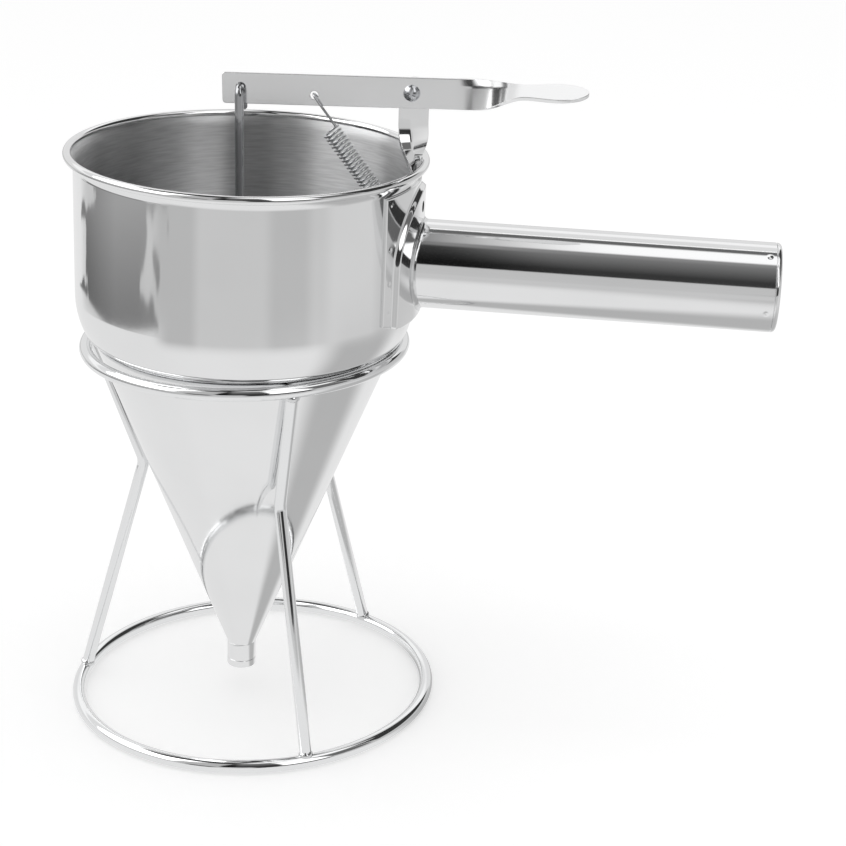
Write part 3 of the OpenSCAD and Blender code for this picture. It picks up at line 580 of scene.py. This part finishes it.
def plate_foot(turn):
    """The height of the plate's lower edge, which rises towards both sides."""
    return PLATE_LOW + PLATE_RISE * (turn / PLATE_TURN) ** 2


def boss_rise(along, z):
    """How far the embossed arch stands out, along being the way round from its middle."""
    if z > BOSS_Z:
        to_side = BOSS_R - math.hypot(along, z - BOSS_Z)
    else:
        to_side = (BOSS_R + BOSS_SPREAD - abs(along)
                   - BOSS_SPREAD * ease((z - BOSS_Z) / BOSS_R + 1))
    return BOSS_H * ease(min(to_side, z - PLATE_LOW - BOSS_FOOT) / BOSS_BAND)


def plate_skin(turn, z):
    """The plate's outside from the funnel's axis: embossed, dented by its spot welds and
    rounded at its edges."""
    dents = 0
    for spot in SPOTS:
        away = math.hypot(math.radians(abs(turn) - SPOT_TURN) * PLATE_OUT, z - spot)
        dents += SPOT_DEPTH * math.exp(-(away / SPOT_R) ** 2 * 2)
    edge = min(math.radians(PLATE_TURN - abs(turn)) * PLATE_OUT, z - plate_foot(turn),
               PLATE_TOP - z)
    soften = EDGE_DROP * (1 - min(1, edge / EDGE_WIDE)) ** 2
    return PLATE_OUT + boss_rise(math.radians(turn) * PLATE_OUT, z) - dents - soften


def plate_back(_turn, _z):
    return PLATE_R


def plate_sheet():
    """Vertices and faces of the plate: a grid outside, one on the bowl and a rim between."""
    verts, faces = [], []
    for skin in (plate_skin, plate_back):
        for row in range(ROWS + 1):
            for column in range(COLUMNS + 1):
                turn = PLATE_TURN * (2 * column / COLUMNS - 1)
                foot = plate_foot(turn)
                z = foot + (PLATE_TOP - foot) * row / ROWS
                r = skin(turn, z)
                verts.append((r * math.cos(math.radians(turn)),
                              r * math.sin(math.radians(turn)), z))
    back = len(verts) // 2
    wide = COLUMNS + 1
    for row in range(ROWS):
        for column in range(COLUMNS):
            a = row * wide + column
            faces.append([a, a + 1, a + 1 + wide, a + wide])
            b = back + a
            faces.append([b, b + wide, b + 1 + wide, b + 1])
    rim = ([(0, c) for c in range(COLUMNS)] + [(r, COLUMNS) for r in range(ROWS)]
           + [(ROWS, c) for c in range(COLUMNS, 0, -1)] + [(r, 0) for r in range(ROWS, 0, -1)])
    for (r0, c0), (r1, c1) in zip(rim, rim[1:] + rim[:1]):
        a, b = r0 * wide + c0, r1 * wide + c1
        faces.append([a, b, back + b, back + a])
    return verts, faces


def drill_vent(plate):
    """Cuts the vent hole through the plate."""
    cutter = bpy.data.objects.new("vent_cutter", bpy.data.meshes.new("vent_cutter"))
    bpy.context.scene.collection.objects.link(cutter)
    drill = bmesh.new()
    bmesh.ops.create_cone(drill, cap_ends=True, segments=HOLE_STEPS,
                          radius1=VENT_R * MM, radius2=VENT_R * MM, depth=VENT_DEPTH * MM)
    turned_out = TO_FUNNEL @ Matrix.Rotation(VENT_TURN, 4, "Z")
    through = (Matrix.Translation(turned_out @ Vector((PLATE_OUT, 0, VENT_Z)))
               @ turned_out.to_quaternion().to_matrix().to_4x4()
               @ Matrix.Rotation(math.radians(90), 4, "Y"))
    bmesh.ops.transform(drill, matrix=through, verts=drill.verts)
    drill.to_mesh(cutter.data)
    drill.free()
    cut = plate.modifiers.new("vent", "BOOLEAN")
    cut.operation = "DIFFERENCE"
    cut.solver = "EXACT"
    cut.object = cutter
    bpy.context.view_layer.update()
    holed = bpy.data.meshes.new_from_object(
        plate.evaluated_get(bpy.context.evaluated_depsgraph_get()))
    plate.modifiers.clear()
    plate.data = holed
    bpy.data.objects.remove(cutter)
    holed.shade_smooth()
    holed.set_sharp_from_angle(angle=math.radians(SHARP))


verts, faces = plate_sheet()
drill_vent(add_piece("handle_plate_sheet", verts, faces, TO_FUNNEL, [polished], "funnel",
                     ["handle_plate"]))

# ---- Weld bead, handle tube and cap ----

BEAD_STEPS, BEAD_RINGS = 220, 12
BEAD_WIDE, BEAD_UNEVEN, BEAD_RIPPLE, RIPPLES = 1.72, 0.3, 0.12, 34
TUBE_FROM, TUBE_EDGE, TUBE_SINK = 69.0, 0.12, 0.1
FINE_FROM, FINE_STEP, FINE_ROWS = 0.3, 0.25, 40     # rows of the tube's mesh near its end
COARSE_TO, COARSE_ROWS = 80, 20                     # and on the rest of it
CRIMP_TURNS, CRIMP_IN = (289, 212, 135, 58), 2.75
CRIMP_R, CRIMP_DEPTH, CRIMP_ZONE = 0.75, 0.35, 7
CAP_TOP, CAP_ROUND, CAP_SEAM = 2.19, 1.8, 0.25
CAP_FLOOR, CAP_SKIRT, CAP_WALL, CAP_FLARE = 0.9, 6, 1.0, 1.2


def saddle(y):
    """How far from the funnel's axis the embossed arch's cylinder lies at a sideways y."""
    return math.sqrt(BOSS_OUT ** 2 - y * y)


def weld_bead():
    """Vertices and faces of the concave bead round the tube's root, uneven and rippled."""
    verts, faces = [], []
    for k in range(BEAD_STEPS):
        turn = 2 * math.pi * k / BEAD_STEPS
        spot = Vector((math.cos(turn) * 3, math.sin(turn) * 3, 0.5))
        width = (BEAD_WIDE - BEAD_UNEVEN * abs(noise.noise(spot * 2.1))
                 - BEAD_RIPPLE * (1 + math.sin(turn * RIPPLES)) / 2)
        for m in range(BEAD_RINGS + 1):
            slope = math.radians(90 * m / BEAD_RINGS)
            r = HANDLE_R + width * (1 - math.cos(slope))
            y, z = r * math.cos(turn), HANDLE_Z + r * math.sin(turn)
            verts.append((saddle(y) + width * (1 - math.sin(slope)), y, z))
        y, z = HANDLE_R * math.cos(turn), HANDLE_Z + HANDLE_R * math.sin(turn)
        verts.append((saddle(y), y, z))
    ring = BEAD_RINGS + 2
    for k in range(BEAD_STEPS):
        a, b = k * ring, (k + 1) % BEAD_STEPS * ring
        for m in range(ring):
            n = (m + 1) % ring
            faces.append([a + m, b + m, b + n, a + n])
    return verts, faces


def tube_profile():
    """The tube's wall, with close rows at its end for the crimp marks."""
    fine = [HANDLE_END - FINE_FROM - FINE_STEP * k for k in range(FINE_ROWS)]
    start = HANDLE_END - FINE_FROM - FINE_STEP * FINE_ROWS
    coarse = [start - (HANDLE_END - COARSE_TO) * k / COARSE_ROWS for k in range(COARSE_ROWS)]
    return ([(HANDLE_R - TUBE_WALL, HANDLE_END), (HANDLE_R - TUBE_EDGE, HANDLE_END),
             (HANDLE_R, HANDLE_END - TUBE_EDGE)]
            + [(HANDLE_R, z) for z in fine + coarse]
            + [(HANDLE_R, TUBE_FROM), (HANDLE_R - TUBE_WALL, TUBE_FROM)])


def crimped(at):
    """Fits a point of the tube to the plate, and pushes it in where a crimp mark lies."""
    x, y, z = at
    z = max(z, saddle(y) - TUBE_SINK)
    if z < HANDLE_END - CRIMP_ZONE:
        return x, y, z
    dent = 0
    for turn in CRIMP_TURNS:
        mark = Vector((HANDLE_R * math.cos(math.radians(turn)),
                       HANDLE_R * math.sin(math.radians(turn)), HANDLE_END - CRIMP_IN))
        away = (Vector((x, y, z)) - mark).length
        dent += CRIMP_DEPTH * math.exp(-(away / CRIMP_R) ** 2)
    share = 1 - dent / HANDLE_R
    return x * share, y * share, z


verts, faces = weld_bead()
add_piece("handle_weld", verts, faces, TO_FUNNEL, [weld], "funnel", ["handle_weld_bead"],
          sharp=ROUND_SHARP)

verts, faces, _ = lathe(tube_profile(), 320)
add_piece("handle_barrel", [crimped(v) for v in verts], faces, TO_HANDLE, [handle_skin],
          "funnel", ["handle_tube"])

bore = HANDLE_R - TUBE_WALL
cap_profile = ([(0, CAP_FLOOR), (bore - CAP_WALL - CAP_FLARE, CAP_FLOOR),
                (bore - CAP_WALL, -CAP_SKIRT), (bore, -CAP_SKIRT), (bore, CAP_SEAM),
                (HANDLE_R - TUBE_EDGE, CAP_SEAM), (HANDLE_R, CAP_SEAM + TUBE_EDGE)]
               + arc((HANDLE_R - CAP_ROUND, CAP_TOP - CAP_ROUND), CAP_ROUND, 0, 90, 14)
               + [(HANDLE_R * 0.5, CAP_TOP), (0, CAP_TOP)])
add_turned("handle_cap", [(r, z + HANDLE_END) for r, z in cap_profile], 192, TO_HANDLE,
           handle_skin, "funnel", ["handle_end_cap"], ROLLED_SHARP)

# ---- Lever ----

LEVER_LEFT, LEVER_CORNER, LEVER_EDGE = -74.9, 1.3, 0.22
TWIST_FROM, TWIST_TO, TWIST = 16.0, 44.5, math.radians(-78)
RISE_FROM, RISE = 28.0, 1.5
NECK_X, NECK_W = 44.0, 12.0
PAD_X, PAD_W, PAD_END = 57.0, 15.5, 68.8
POLISH_SLANT = 0.45
PIVOT_HOLE = (0, 0, 2.05)
ROD_HOLE = (-67.5, 0.4, 1.88)
SPRING_HOLE = (SPRING_HOLE_X, SPRING_HOLE_Z, 1.7)


def blade_half(x):
    """Half the strap's width: narrower at the neck, wider over the pad and round at its end."""
    if x < NECK_X:
        return (LEVER_W + (NECK_W - LEVER_W) * ease((x - RISE_FROM)
                                                    / (NECK_X - RISE_FROM))) / 2
    if x < PAD_X:
        return (NECK_W + (PAD_W - NECK_W) * ease((x - NECK_X) / (PAD_X - NECK_X))) / 2
    return PAD_W * math.sqrt(max(0.0, 1 - ((x - PAD_X) / (PAD_END - PAD_X)) ** 2)) / 2


def lever_shape(at):
    """Stands the flat strap upright and twists its far end over into the thumb pad."""
    x, w, t = at
    turn = TWIST * ease((x - TWIST_FROM) / (TWIST_TO - TWIST_FROM))
    lift = RISE * ease((x - RISE_FROM) / (NECK_X - RISE_FROM))
    return (x, -t * math.cos(turn) - w * math.sin(turn),
            w * math.cos(turn) - t * math.sin(turn) + lift)


def lever_pick(centre):
    """Satin up to a slanting line at the twist's start, polished from there on."""
    return 1 if centre.x > TWIST_FROM - POLISH_SLANT * centre.y else 0


def lever_outline():
    """The flat strap's outline, from its upper left corner round to the pad and back."""
    xs = [TWIST_FROM + (PAD_X - TWIST_FROM) * k / 40 for k in range(41)]
    xs += [PAD_X + (PAD_END - PAD_X) * math.sin(math.radians(90 * k / 22))
           for k in range(1, 22)]
    corner_x, corner_z = LEVER_LEFT + LEVER_CORNER, LEVER_W / 2 - LEVER_CORNER
    return (arc((corner_x, corner_z), LEVER_CORNER, 90, 180, 6)
            + arc((corner_x, -corner_z), LEVER_CORNER, 180, 270, 6)
            + [(x, -blade_half(x)) for x in xs] + [(PAD_END, 0)]
            + [(x, blade_half(x)) for x in reversed(xs)])


strap("lever_strap", lever_outline(), [PIVOT_HOLE, ROD_HOLE, SPRING_HOLE], LEVER_T, LEVER_EDGE,
      [TWIST_FROM + 0.9 * k for k in range(60)], lever_shape, TO_LEVER,
      [satin, bright_strap], "lever", ["lever"], lever_pick)

# ---- Bracket ----

BRACKET_X = 65.4
BRACKET_T, BRACKET_EDGE = 1.5, 0.22
TURN_TOP, TURN_END = 91.5, 68.0     # heights between which the strap makes its quarter turn
TONGUE_R = 2.0                      # the bend into the tongue
TONGUE_TIP, TONGUE_MID, TONGUE_HALF, TONGUE_CUT = 58.6, -0.7, 4, 1.5
# Where the strap lies flat against the bowl's wall, its edges just clear of it
WALL_X = (math.sqrt((BOWL_R - SHEET) ** 2 - (BRACKET_Y + BRACKET_W / 2) ** 2)
          - BRACKET_T / 2 - CLEARANCE)


def bracket_shape(at):
    """Runs the strap down behind the lever, turns it a quarter and bends its foot inwards."""
    s, w, t = at
    z = PIVOT_Z - s
    turn = math.radians(90) * ease((TURN_TOP - z) / (TURN_TOP - TURN_END))
    mid_x = BRACKET_X + (WALL_X - BRACKET_X) * turn / math.radians(90)
    past = BRACKET_FOOT + TONGUE_R - z
    if past <= 0:
        return (mid_x + w * math.cos(turn) - t * math.sin(turn),
                BRACKET_Y + w * math.sin(turn) + t * math.cos(turn), z)
    bend = min(past / TONGUE_R, math.pi / 2)
    along = max(0.0, past - TONGUE_R * math.pi / 2)
    return (mid_x - TONGUE_R * (1 - math.cos(bend)) - along - t * math.cos(bend),
            BRACKET_Y + w,
            BRACKET_FOOT + TONGUE_R - TONGUE_R * math.sin(bend) - t * math.sin(bend))


def bracket_strap():
    """The flat strap with a round top and a narrower tongue, its length measured down."""
    foot = PIVOT_Z - BRACKET_FOOT - TONGUE_R
    flat_x = foot + TONGUE_R * math.pi / 2 + WALL_X - TONGUE_R  # length less x on the tongue
    tip = flat_x - TONGUE_TIP
    half = BRACKET_W / 2
    side = TONGUE_MID + TONGUE_HALF - BRACKET_Y
    outline = (arc((0, 0), half, 90, 270, 24)
               + [(foot + 0.5, -half), (tip - TONGUE_CUT, -half), (tip, -half + TONGUE_CUT),
                  (tip, side - TONGUE_CUT), (tip - TONGUE_CUT, side), (foot + 5, side),
                  (foot + 2.5, half - 1), (foot + 1, half)])
    holes = [(0, -0.8, 1.95), (flat_x - TONGUE_HOLE_X, TONGUE_HOLE_Y - BRACKET_Y, 1.7)]
    strap("bracket_strap", outline, holes, BRACKET_T, BRACKET_EDGE,
          [PIVOT_Z - TURN_TOP + 0.8 * k for k in range(60)], bracket_shape, TO_FUNNEL,
          [bright_strap], "funnel", ["lever_bracket"])


bracket_strap()

# ---- Spring ----

SPRING_WIRE, SPRING_R = 0.5, 3.4
TURNS, STEPS, PITCH, COIL_TURN = 22, 30, 1.67, 30
HOOK_R, HOOK_REACH, HOOK_TAIL = 1.7, 14.8, 2.5
LOW_HOOK_R, LOW_HOOK_IN, LOW_HOOK_TURN = 2.2, 1.1, 190

spring_hole = LEVER_IN_FUNNEL @ Vector((SPRING_HOLE_X, 0, SPRING_HOLE_Z))
tongue_hole = Vector((TONGUE_HOLE_X, TONGUE_HOLE_Y, BRACKET_FOOT))
across = Vector((0, 1, 0))
pull = tongue_hole - spring_hole
pull = (pull - across * pull.y).normalized()
out = Vector((-pull.z, 0, pull.x))


def spring_path():
    """The spring's wire: a hook through the lever, the coil and a hook in the tongue."""
    middle = spring_hole + (HOOK_R - SPRING_WIRE) * pull
    hook = [middle + HOOK_R * (across * math.cos(math.pi * k / 16)
                               - pull * math.sin(math.pi * k / 16)) for k in range(17)]
    # The coil starts on the line of pull, COIL_TURN degrees before its outermost point
    start = (spring_hole + HOOK_REACH * pull
             - SPRING_R * math.cos(math.radians(COIL_TURN)) * out)
    coil = []
    for k in range(TURNS * STEPS + 1):
        turn = math.radians(360 * k / STEPS - COIL_TURN)
        coil.append(start + SPRING_R * (out * math.cos(turn) + across * math.sin(turn))
                    + pull * PITCH * k / STEPS)
    low_hook = []
    for k in range(17):
        turn = math.radians(LOW_HOOK_TURN * k / 16)
        low_hook.append(tongue_hole + pull * LOW_HOOK_IN
                        + LOW_HOOK_R * (pull * math.sin(turn) - out * (1 - math.cos(turn))))
    return [hook[0] + pull * HOOK_TAIL] + hook + coil + low_hook


verts, faces = sweep(spring_path(), SPRING_WIRE, 12)
spring = add_piece("spring_coil", verts, faces, TO_FUNNEL, [spring_steel], None)
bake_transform(spring)
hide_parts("spring")

# ---- Rod and valve plug ----

ROD_RISE, ROD_SIDE, ROD_BEND, ROD_HOOK = 241.82, 3.85, 2.8, 10
ROD_IN_PLUG = 11
# The plug's heights from its seat: its tip, its body's foot and top, and its neck's top
PLUG_LOW, PLUG_BODY, PLUG_SHOULDER, PLUG_Z = -7, 7.024, 12.024, 17.024
PLUG_R, PLUG_GAP, PLUG_NECK, PLUG_ROUND = 7, 0.3, 1.4, 0.25
TIP_IN, TIP_BEVEL, SEAT_STEP, SEAT_STEP_Z = 1.0, 0.8, 0.3, -0.75

rod_line = [(0, 0, PLUG_Z - ROD_IN_PLUG), (0, 0, ROD_RISE), (0, 2 * ROD_SIDE, ROD_RISE),
            (0, 2 * ROD_SIDE, ROD_RISE - ROD_HOOK)]
verts, faces = sweep(bent(rod_line, ROD_BEND, 12), ROD_R, 24)
add_piece("rod_wire", verts, faces, TO_ROD, [rod_steel], "valve_rod", ["rod"])

seat_r = BORE_R - PLUG_GAP
add_turned("valve_body", rounded([
    (0, PLUG_LOW), (seat_r - TIP_IN - TIP_BEVEL, PLUG_LOW),
    (seat_r - TIP_IN, PLUG_LOW + TIP_BEVEL), (seat_r - SEAT_STEP, SEAT_STEP_Z), (seat_r, 0),
    (PLUG_R, PLUG_BODY), (PLUG_R, PLUG_SHOULDER), (ROD_R + PLUG_NECK, PLUG_Z), (0, PLUG_Z)],
    PLUG_ROUND, 2),
    96, TO_ROD, turned, "valve_rod", ["valve_plug"])

# ---- Small hardware keeps its CAD meshes ----

for name in ("pivot_screw", "pivot_washers", "pivot_nut"):
    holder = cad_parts[name]
    holder.data.materials.clear()
    holder.data.materials.append(screw_steel)

# ---- Shader arithmetic for the floor and the room ----

def math_node(tree, operation, a, b=None):
    made = node(tree, "ShaderNodeMath", operation=operation)
    for socket, value in zip(made.inputs, (a, b)):
        if isinstance(value, (int, float)):
            socket.default_value = value
        elif value is not None:
            tree.links.new(value, socket)
    return made.outputs[0]


def times(tree, a, b):
    return math_node(tree, "MULTIPLY", a, b)


def step(tree, value, low, high):
    """0 below low and 1 above high, smooth between; the other way round if low > high."""
    made = node(tree, "ShaderNodeMapRange", interpolation_type="SMOOTHSTEP")
    made.inputs["From Min"].default_value = low
    made.inputs["From Max"].default_value = high
    tree.links.new(value, made.inputs["Value"])
    return made.outputs["Result"]


def window(tree, value, low, high, soft):
    """1 between low and high, with soft edges."""
    return times(tree, step(tree, value, low - soft, low + soft),
                 step(tree, value, high + soft, high - soft))


def blend_level(tree, level, mask, target):
    """level where mask is 0 and target where it is 1."""
    made = node(tree, "ShaderNodeMix", data_type="FLOAT")
    tree.links.new(mask, made.inputs["Factor"])
    for socket, value in ((made.inputs["A"], level), (made.inputs["B"], target)):
        if isinstance(value, (int, float)):
            socket.default_value = value
        else:
            tree.links.new(value, socket)
    return made.outputs["Result"]


def zoned(tree, level, value, zones):
    """level with other tones in zones of value, each given as low, high, softness and tone."""
    for low, high, soft, tone in zones:
        level = blend_level(tree, level, window(tree, value, low, high, soft), tone)
    return level


def degrees_of(tree, y, x):
    return times(tree, math_node(tree, "ARCTAN2", y, x), 180 / math.pi)


def split(tree, vector):
    """The x, y and z of a vector."""
    parts = node(tree, "ShaderNodeSeparateXYZ")
    tree.links.new(vector, parts.inputs["Vector"])
    return parts.outputs


# ---- Floor: white to the camera, with its shade, and with tones of its own in reflections ----

FLOOR_HALF, FLOOR_DROP = 9, 0.0002
FLOOR_GREY, FLOOR_GLOW = 0.8, 0.33
# Tones round the stand, in degrees about its axis. The third and fourth are one zone that
# runs over 0 degrees.
FLOOR_TONE = 0.63
FLOOR_ZONES = ((222, 248, 4, 0.53), (294, 320, 5, 0.54), (333, 372, 6, 0.71),
               (-25, 12, 6, 0.71), (60, 148, 8, 0.85))
# Distances from the axis, in metres
FAR_FROM, FAR_TO, FAR_TONE = 1.0, 1.5, 0.59
NEAR_FROM, NEAR_TO, NEAR_TONE = 0.6, 0.28, 0.85
NEAR_RIGHT, NEAR_RIGHT_TONE = (-24, 34, 14), 0.5
LEFT_ZONE, LEFT_FROM, LEFT_TO, LEFT_TONE = (128, 224, 8), 0.66, 0.60, 0.84
LEGS_ZONE, LEGS_FROM, LEGS_TO, LEGS_TONE = (282, 326, 4), 1.6, 2.2, 0.05
# The dark patch on the bowl's left, whose edge wavers
PATCH_ZONE = (148, 217, 0.8)
PATCH_BY_DISTANCE = (0.20, 0.39, 0.62, 0.92)
PATCH_BY_TURN = (0.55, 1.0, 150, 188)
PATCH_CORNER, PATCH_SOFT = (0.665, 0.632, 150, 180), 0.004
WAVER_SCALE, WAVER_DETAIL, WAVER_TURN = 8.5, 1, 56
NARROW_FROM, NARROW_TO, NARROW_TURN = 0.86, 0.94, 15


def floor_tone(tree):
    """How light the floor is in a reflection, by its distance and direction from the stand."""
    geometry = node(tree, "ShaderNodeNewGeometry")
    px, py, _ = split(tree, geometry.outputs["Position"])
    azimuth = degrees_of(tree, py, px)
    away = math_node(tree, "SQRT", math_node(tree, "ADD", times(tree, px, px),
                                             times(tree, py, py)))
    turn = math_node(tree, "MODULO", math_node(tree, "ADD", azimuth, 720), 360)
    level = zoned(tree, FLOOR_TONE, turn, FLOOR_ZONES)
    level = blend_level(tree, level, step(tree, away, FAR_FROM, FAR_TO), FAR_TONE)
    near = blend_level(tree, NEAR_TONE, window(tree, azimuth, *NEAR_RIGHT), NEAR_RIGHT_TONE)
    level = blend_level(tree, level, step(tree, away, NEAR_FROM, NEAR_TO), near)
    left = times(tree, window(tree, turn, *LEFT_ZONE), step(tree, away, LEFT_FROM, LEFT_TO))
    level = blend_level(tree, level, left, LEFT_TONE)
    # The patch
    waver = node(tree, "ShaderNodeTexNoise")
    waver.inputs["Scale"].default_value = WAVER_SCALE
    waver.inputs["Detail"].default_value = WAVER_DETAIL
    tree.links.new(geometry.outputs["Position"], waver.inputs["Vector"])
    drift = times(tree, math_node(tree, "SUBTRACT", waver.outputs["Fac"], 0.5), WAVER_TURN)
    drift = math_node(tree, "SUBTRACT", drift,
                      times(tree, step(tree, away, NARROW_FROM, NARROW_TO), NARROW_TURN))
    past_corner = math_node(tree, "SUBTRACT", away, ranged(tree, turn, *PATCH_CORNER))
    patch = times(tree, window(tree, math_node(tree, "ADD", turn, drift), *PATCH_ZONE),
                  step(tree, past_corner, -PATCH_SOFT, PATCH_SOFT))
    patch_tone = times(tree, ranged(tree, away, *PATCH_BY_DISTANCE),
                       ranged(tree, turn, *PATCH_BY_TURN))
    level = blend_level(tree, level, patch, patch_tone)
    # A dark far end, which the legs reflect
    legs = times(tree, window(tree, turn, *LEGS_ZONE), step(tree, away, LEGS_FROM, LEGS_TO))
    return blend_level(tree, level, legs, LEGS_TONE)


def floor_material():
    mat = bpy.data.materials.new("floor")
    mat.use_nodes = True
    tree = mat.node_tree
    tree.nodes.clear()
    out = node(tree, "ShaderNodeOutputMaterial")
    matte = node(tree, "ShaderNodeBsdfDiffuse")
    matte.inputs["Color"].default_value = (FLOOR_GREY, FLOOR_GREY, FLOOR_GREY, 1)
    glow = node(tree, "ShaderNodeEmission")
    glow.inputs["Strength"].default_value = FLOOR_GLOW
    base = node(tree, "ShaderNodeAddShader")
    tree.links.new(matte.outputs[0], base.inputs[0])
    tree.links.new(glow.outputs[0], base.inputs[1])
    reflected = node(tree, "ShaderNodeEmission")
    tree.links.new(floor_tone(tree), reflected.inputs["Strength"])
    path_info = node(tree, "ShaderNodeLightPath")
    pick = node(tree, "ShaderNodeMixShader")
    tree.links.new(path_info.outputs["Is Glossy Ray"], pick.inputs[0])
    tree.links.new(base.outputs[0], pick.inputs[1])
    tree.links.new(reflected.outputs[0], pick.inputs[2])
    tree.links.new(pick.outputs[0], out.inputs["Surface"])
    return mat


floor_mesh = bpy.data.meshes.new("floor")
floor_mesh.from_pydata([(-FLOOR_HALF, -FLOOR_HALF, 0), (FLOOR_HALF, -FLOOR_HALF, 0),
                        (FLOOR_HALF, FLOOR_HALF, 0), (-FLOOR_HALF, FLOOR_HALF, 0)],
                       [], [(0, 1, 2, 3)])
floor_mesh.materials.append(floor_material())
floor = bpy.data.objects.new("floor", floor_mesh)
bpy.context.scene.collection.objects.link(floor)
floor.location.z = -FLOOR_DROP

# ---- World: even and white, and a room of soft tones where metal reflects it ----

EVEN_STRENGTH, CAMERA_STRENGTH = 0.8, 1.0
# Zones of the walls in degrees about z, between the horizon's band and the ceiling
ROOM_TONE, ROOM_SOFT = 2.3, 3
LEFT_WALLS = ((-130, -101, ROOM_SOFT, 0.5),)
RIGHT_WALLS = ((-62, -34, ROOM_SOFT, 1.5), (-34, -2, ROOM_SOFT, 0.15),
               (-2, 62, ROOM_SOFT, 0.04))
# Between them the dark wall in front, whose tone changes with height and sideways
CORE_FROM, CORE_TO = -102, -62
CORE_BY_HEIGHT = (0.04, 0.19, 26, 62)
CORE_BY_SIDE = (0.15, 1.0, -0.05, 0.0)
HORIZON_TONE, HORIZON_FROM, HORIZON_TO = 0.58, 12, 15
HORIZON_ZONES = ((-120, -103, ROOM_SOFT, 0.12), (-80, -34, ROOM_SOFT, 0.03))
HIGH_FROM, HIGH_TO, HIGH_TONE = 62, 70, 0.26
LEFT_FADE = (0.12, 1.0, -0.075, -0.05)
# Bands over the top, in degrees up from the front: 90 is overhead and 180 behind
TOP_BAND, TOP_FROM, TOP_TO = (76, 104, 3), 50, 58
TOP_TONE = (0.3, 1.12, -0.05, 0.03)
BEHIND_FROM, BEHIND_TO, BEHIND_TONE = 117, 121, 0.8
BRIGHT_BAND = (138, 152, 3, 1.02)
LINE_BAND, LINE_TONE = (106, 118, 1.5), 0.14
RIGHT_WALL, WALL_TOP, WALL_FADE = (-2, 60, 3), 62, 58


def room_tone(tree):
    """How light the room is in a reflection, by the direction that the reflection looks in."""
    coords = node(tree, "ShaderNodeTexCoord")
    dx, dy, dz = split(tree, coords.outputs["Generated"])
    azimuth = degrees_of(tree, dy, dx)
    height = times(tree, math_node(tree, "ARCSINE", dz), 180 / math.pi)
    over = degrees_of(tree, dz, times(tree, dy, -1))
    core = times(tree, ranged(tree, dx, *CORE_BY_SIDE), ranged(tree, height, *CORE_BY_HEIGHT))
    walls = zoned(tree, ROOM_TONE, azimuth,
                  LEFT_WALLS + ((CORE_FROM, CORE_TO, ROOM_SOFT, core),) + RIGHT_WALLS)
    horizon = zoned(tree, HORIZON_TONE, azimuth, HORIZON_ZONES)
    level = blend_level(tree, horizon, step(tree, height, HORIZON_FROM, HORIZON_TO), walls)
    # The ceiling, dark to the left
    left_fade = ranged(tree, dx, *LEFT_FADE)
    level = blend_level(tree, level, step(tree, height, HIGH_FROM, HIGH_TO),
                        times(tree, left_fade, HIGH_TONE))
    top = step(tree, height, TOP_FROM, TOP_TO)
    level = blend_level(tree, level, times(tree, top, window(tree, over, *TOP_BAND)),
                        times(tree, left_fade, ranged(tree, dx, *TOP_TONE)))
    # Behind, except where the right wall stands
    right_wall = times(tree, window(tree, azimuth, *RIGHT_WALL),
                       step(tree, height, WALL_TOP, WALL_FADE))
    behind = times(tree, step(tree, over, BEHIND_FROM, BEHIND_TO),
                   math_node(tree, "SUBTRACT", 1.0, right_wall))
    level = blend_level(tree, level, behind,
                        zoned(tree, BEHIND_TONE, over, (BRIGHT_BAND,)))
    # A dark line along the ceiling
    return blend_level(tree, level, times(tree, top, window(tree, over, *LINE_BAND)),
                       LINE_TONE)


world = bpy.data.worlds.new("studio")
bpy.context.scene.world = world
world.use_nodes = True
tree = world.node_tree
tree.nodes.clear()
out_node = node(tree, "ShaderNodeOutputWorld")
sky = node(tree, "ShaderNodeBackground")
sky.inputs["Color"].default_value = (1, 1, 1, 1)
path_info = node(tree, "ShaderNodeLightPath")
strength = blend_level(tree, EVEN_STRENGTH, path_info.outputs["Is Glossy Ray"],
                       room_tone(tree))
strength = blend_level(tree, strength, path_info.outputs["Is Camera Ray"], CAMERA_STRENGTH)
tree.links.new(strength, sky.inputs["Strength"])
tree.links.new(sky.outputs[0], out_node.inputs["Surface"])

# ---- Lamp: it casts the soft shade under the stand, and metal doesn't reflect it ----

LAMP_WIDE, LAMP_DEEP, LAMP_WATTS = 1.2, 0.9, 3.0
LAMP_AT = (0.15, -0.15, 1.6)

lamp = bpy.data.lights.new("softbox", "AREA")
lamp.shape = "RECTANGLE"
lamp.size, lamp.size_y = LAMP_WIDE, LAMP_DEEP
lamp.energy = LAMP_WATTS
softbox = bpy.data.objects.new("softbox", lamp)
softbox.location = LAMP_AT
softbox.visible_glossy = False
bpy.context.scene.collection.objects.link(softbox)
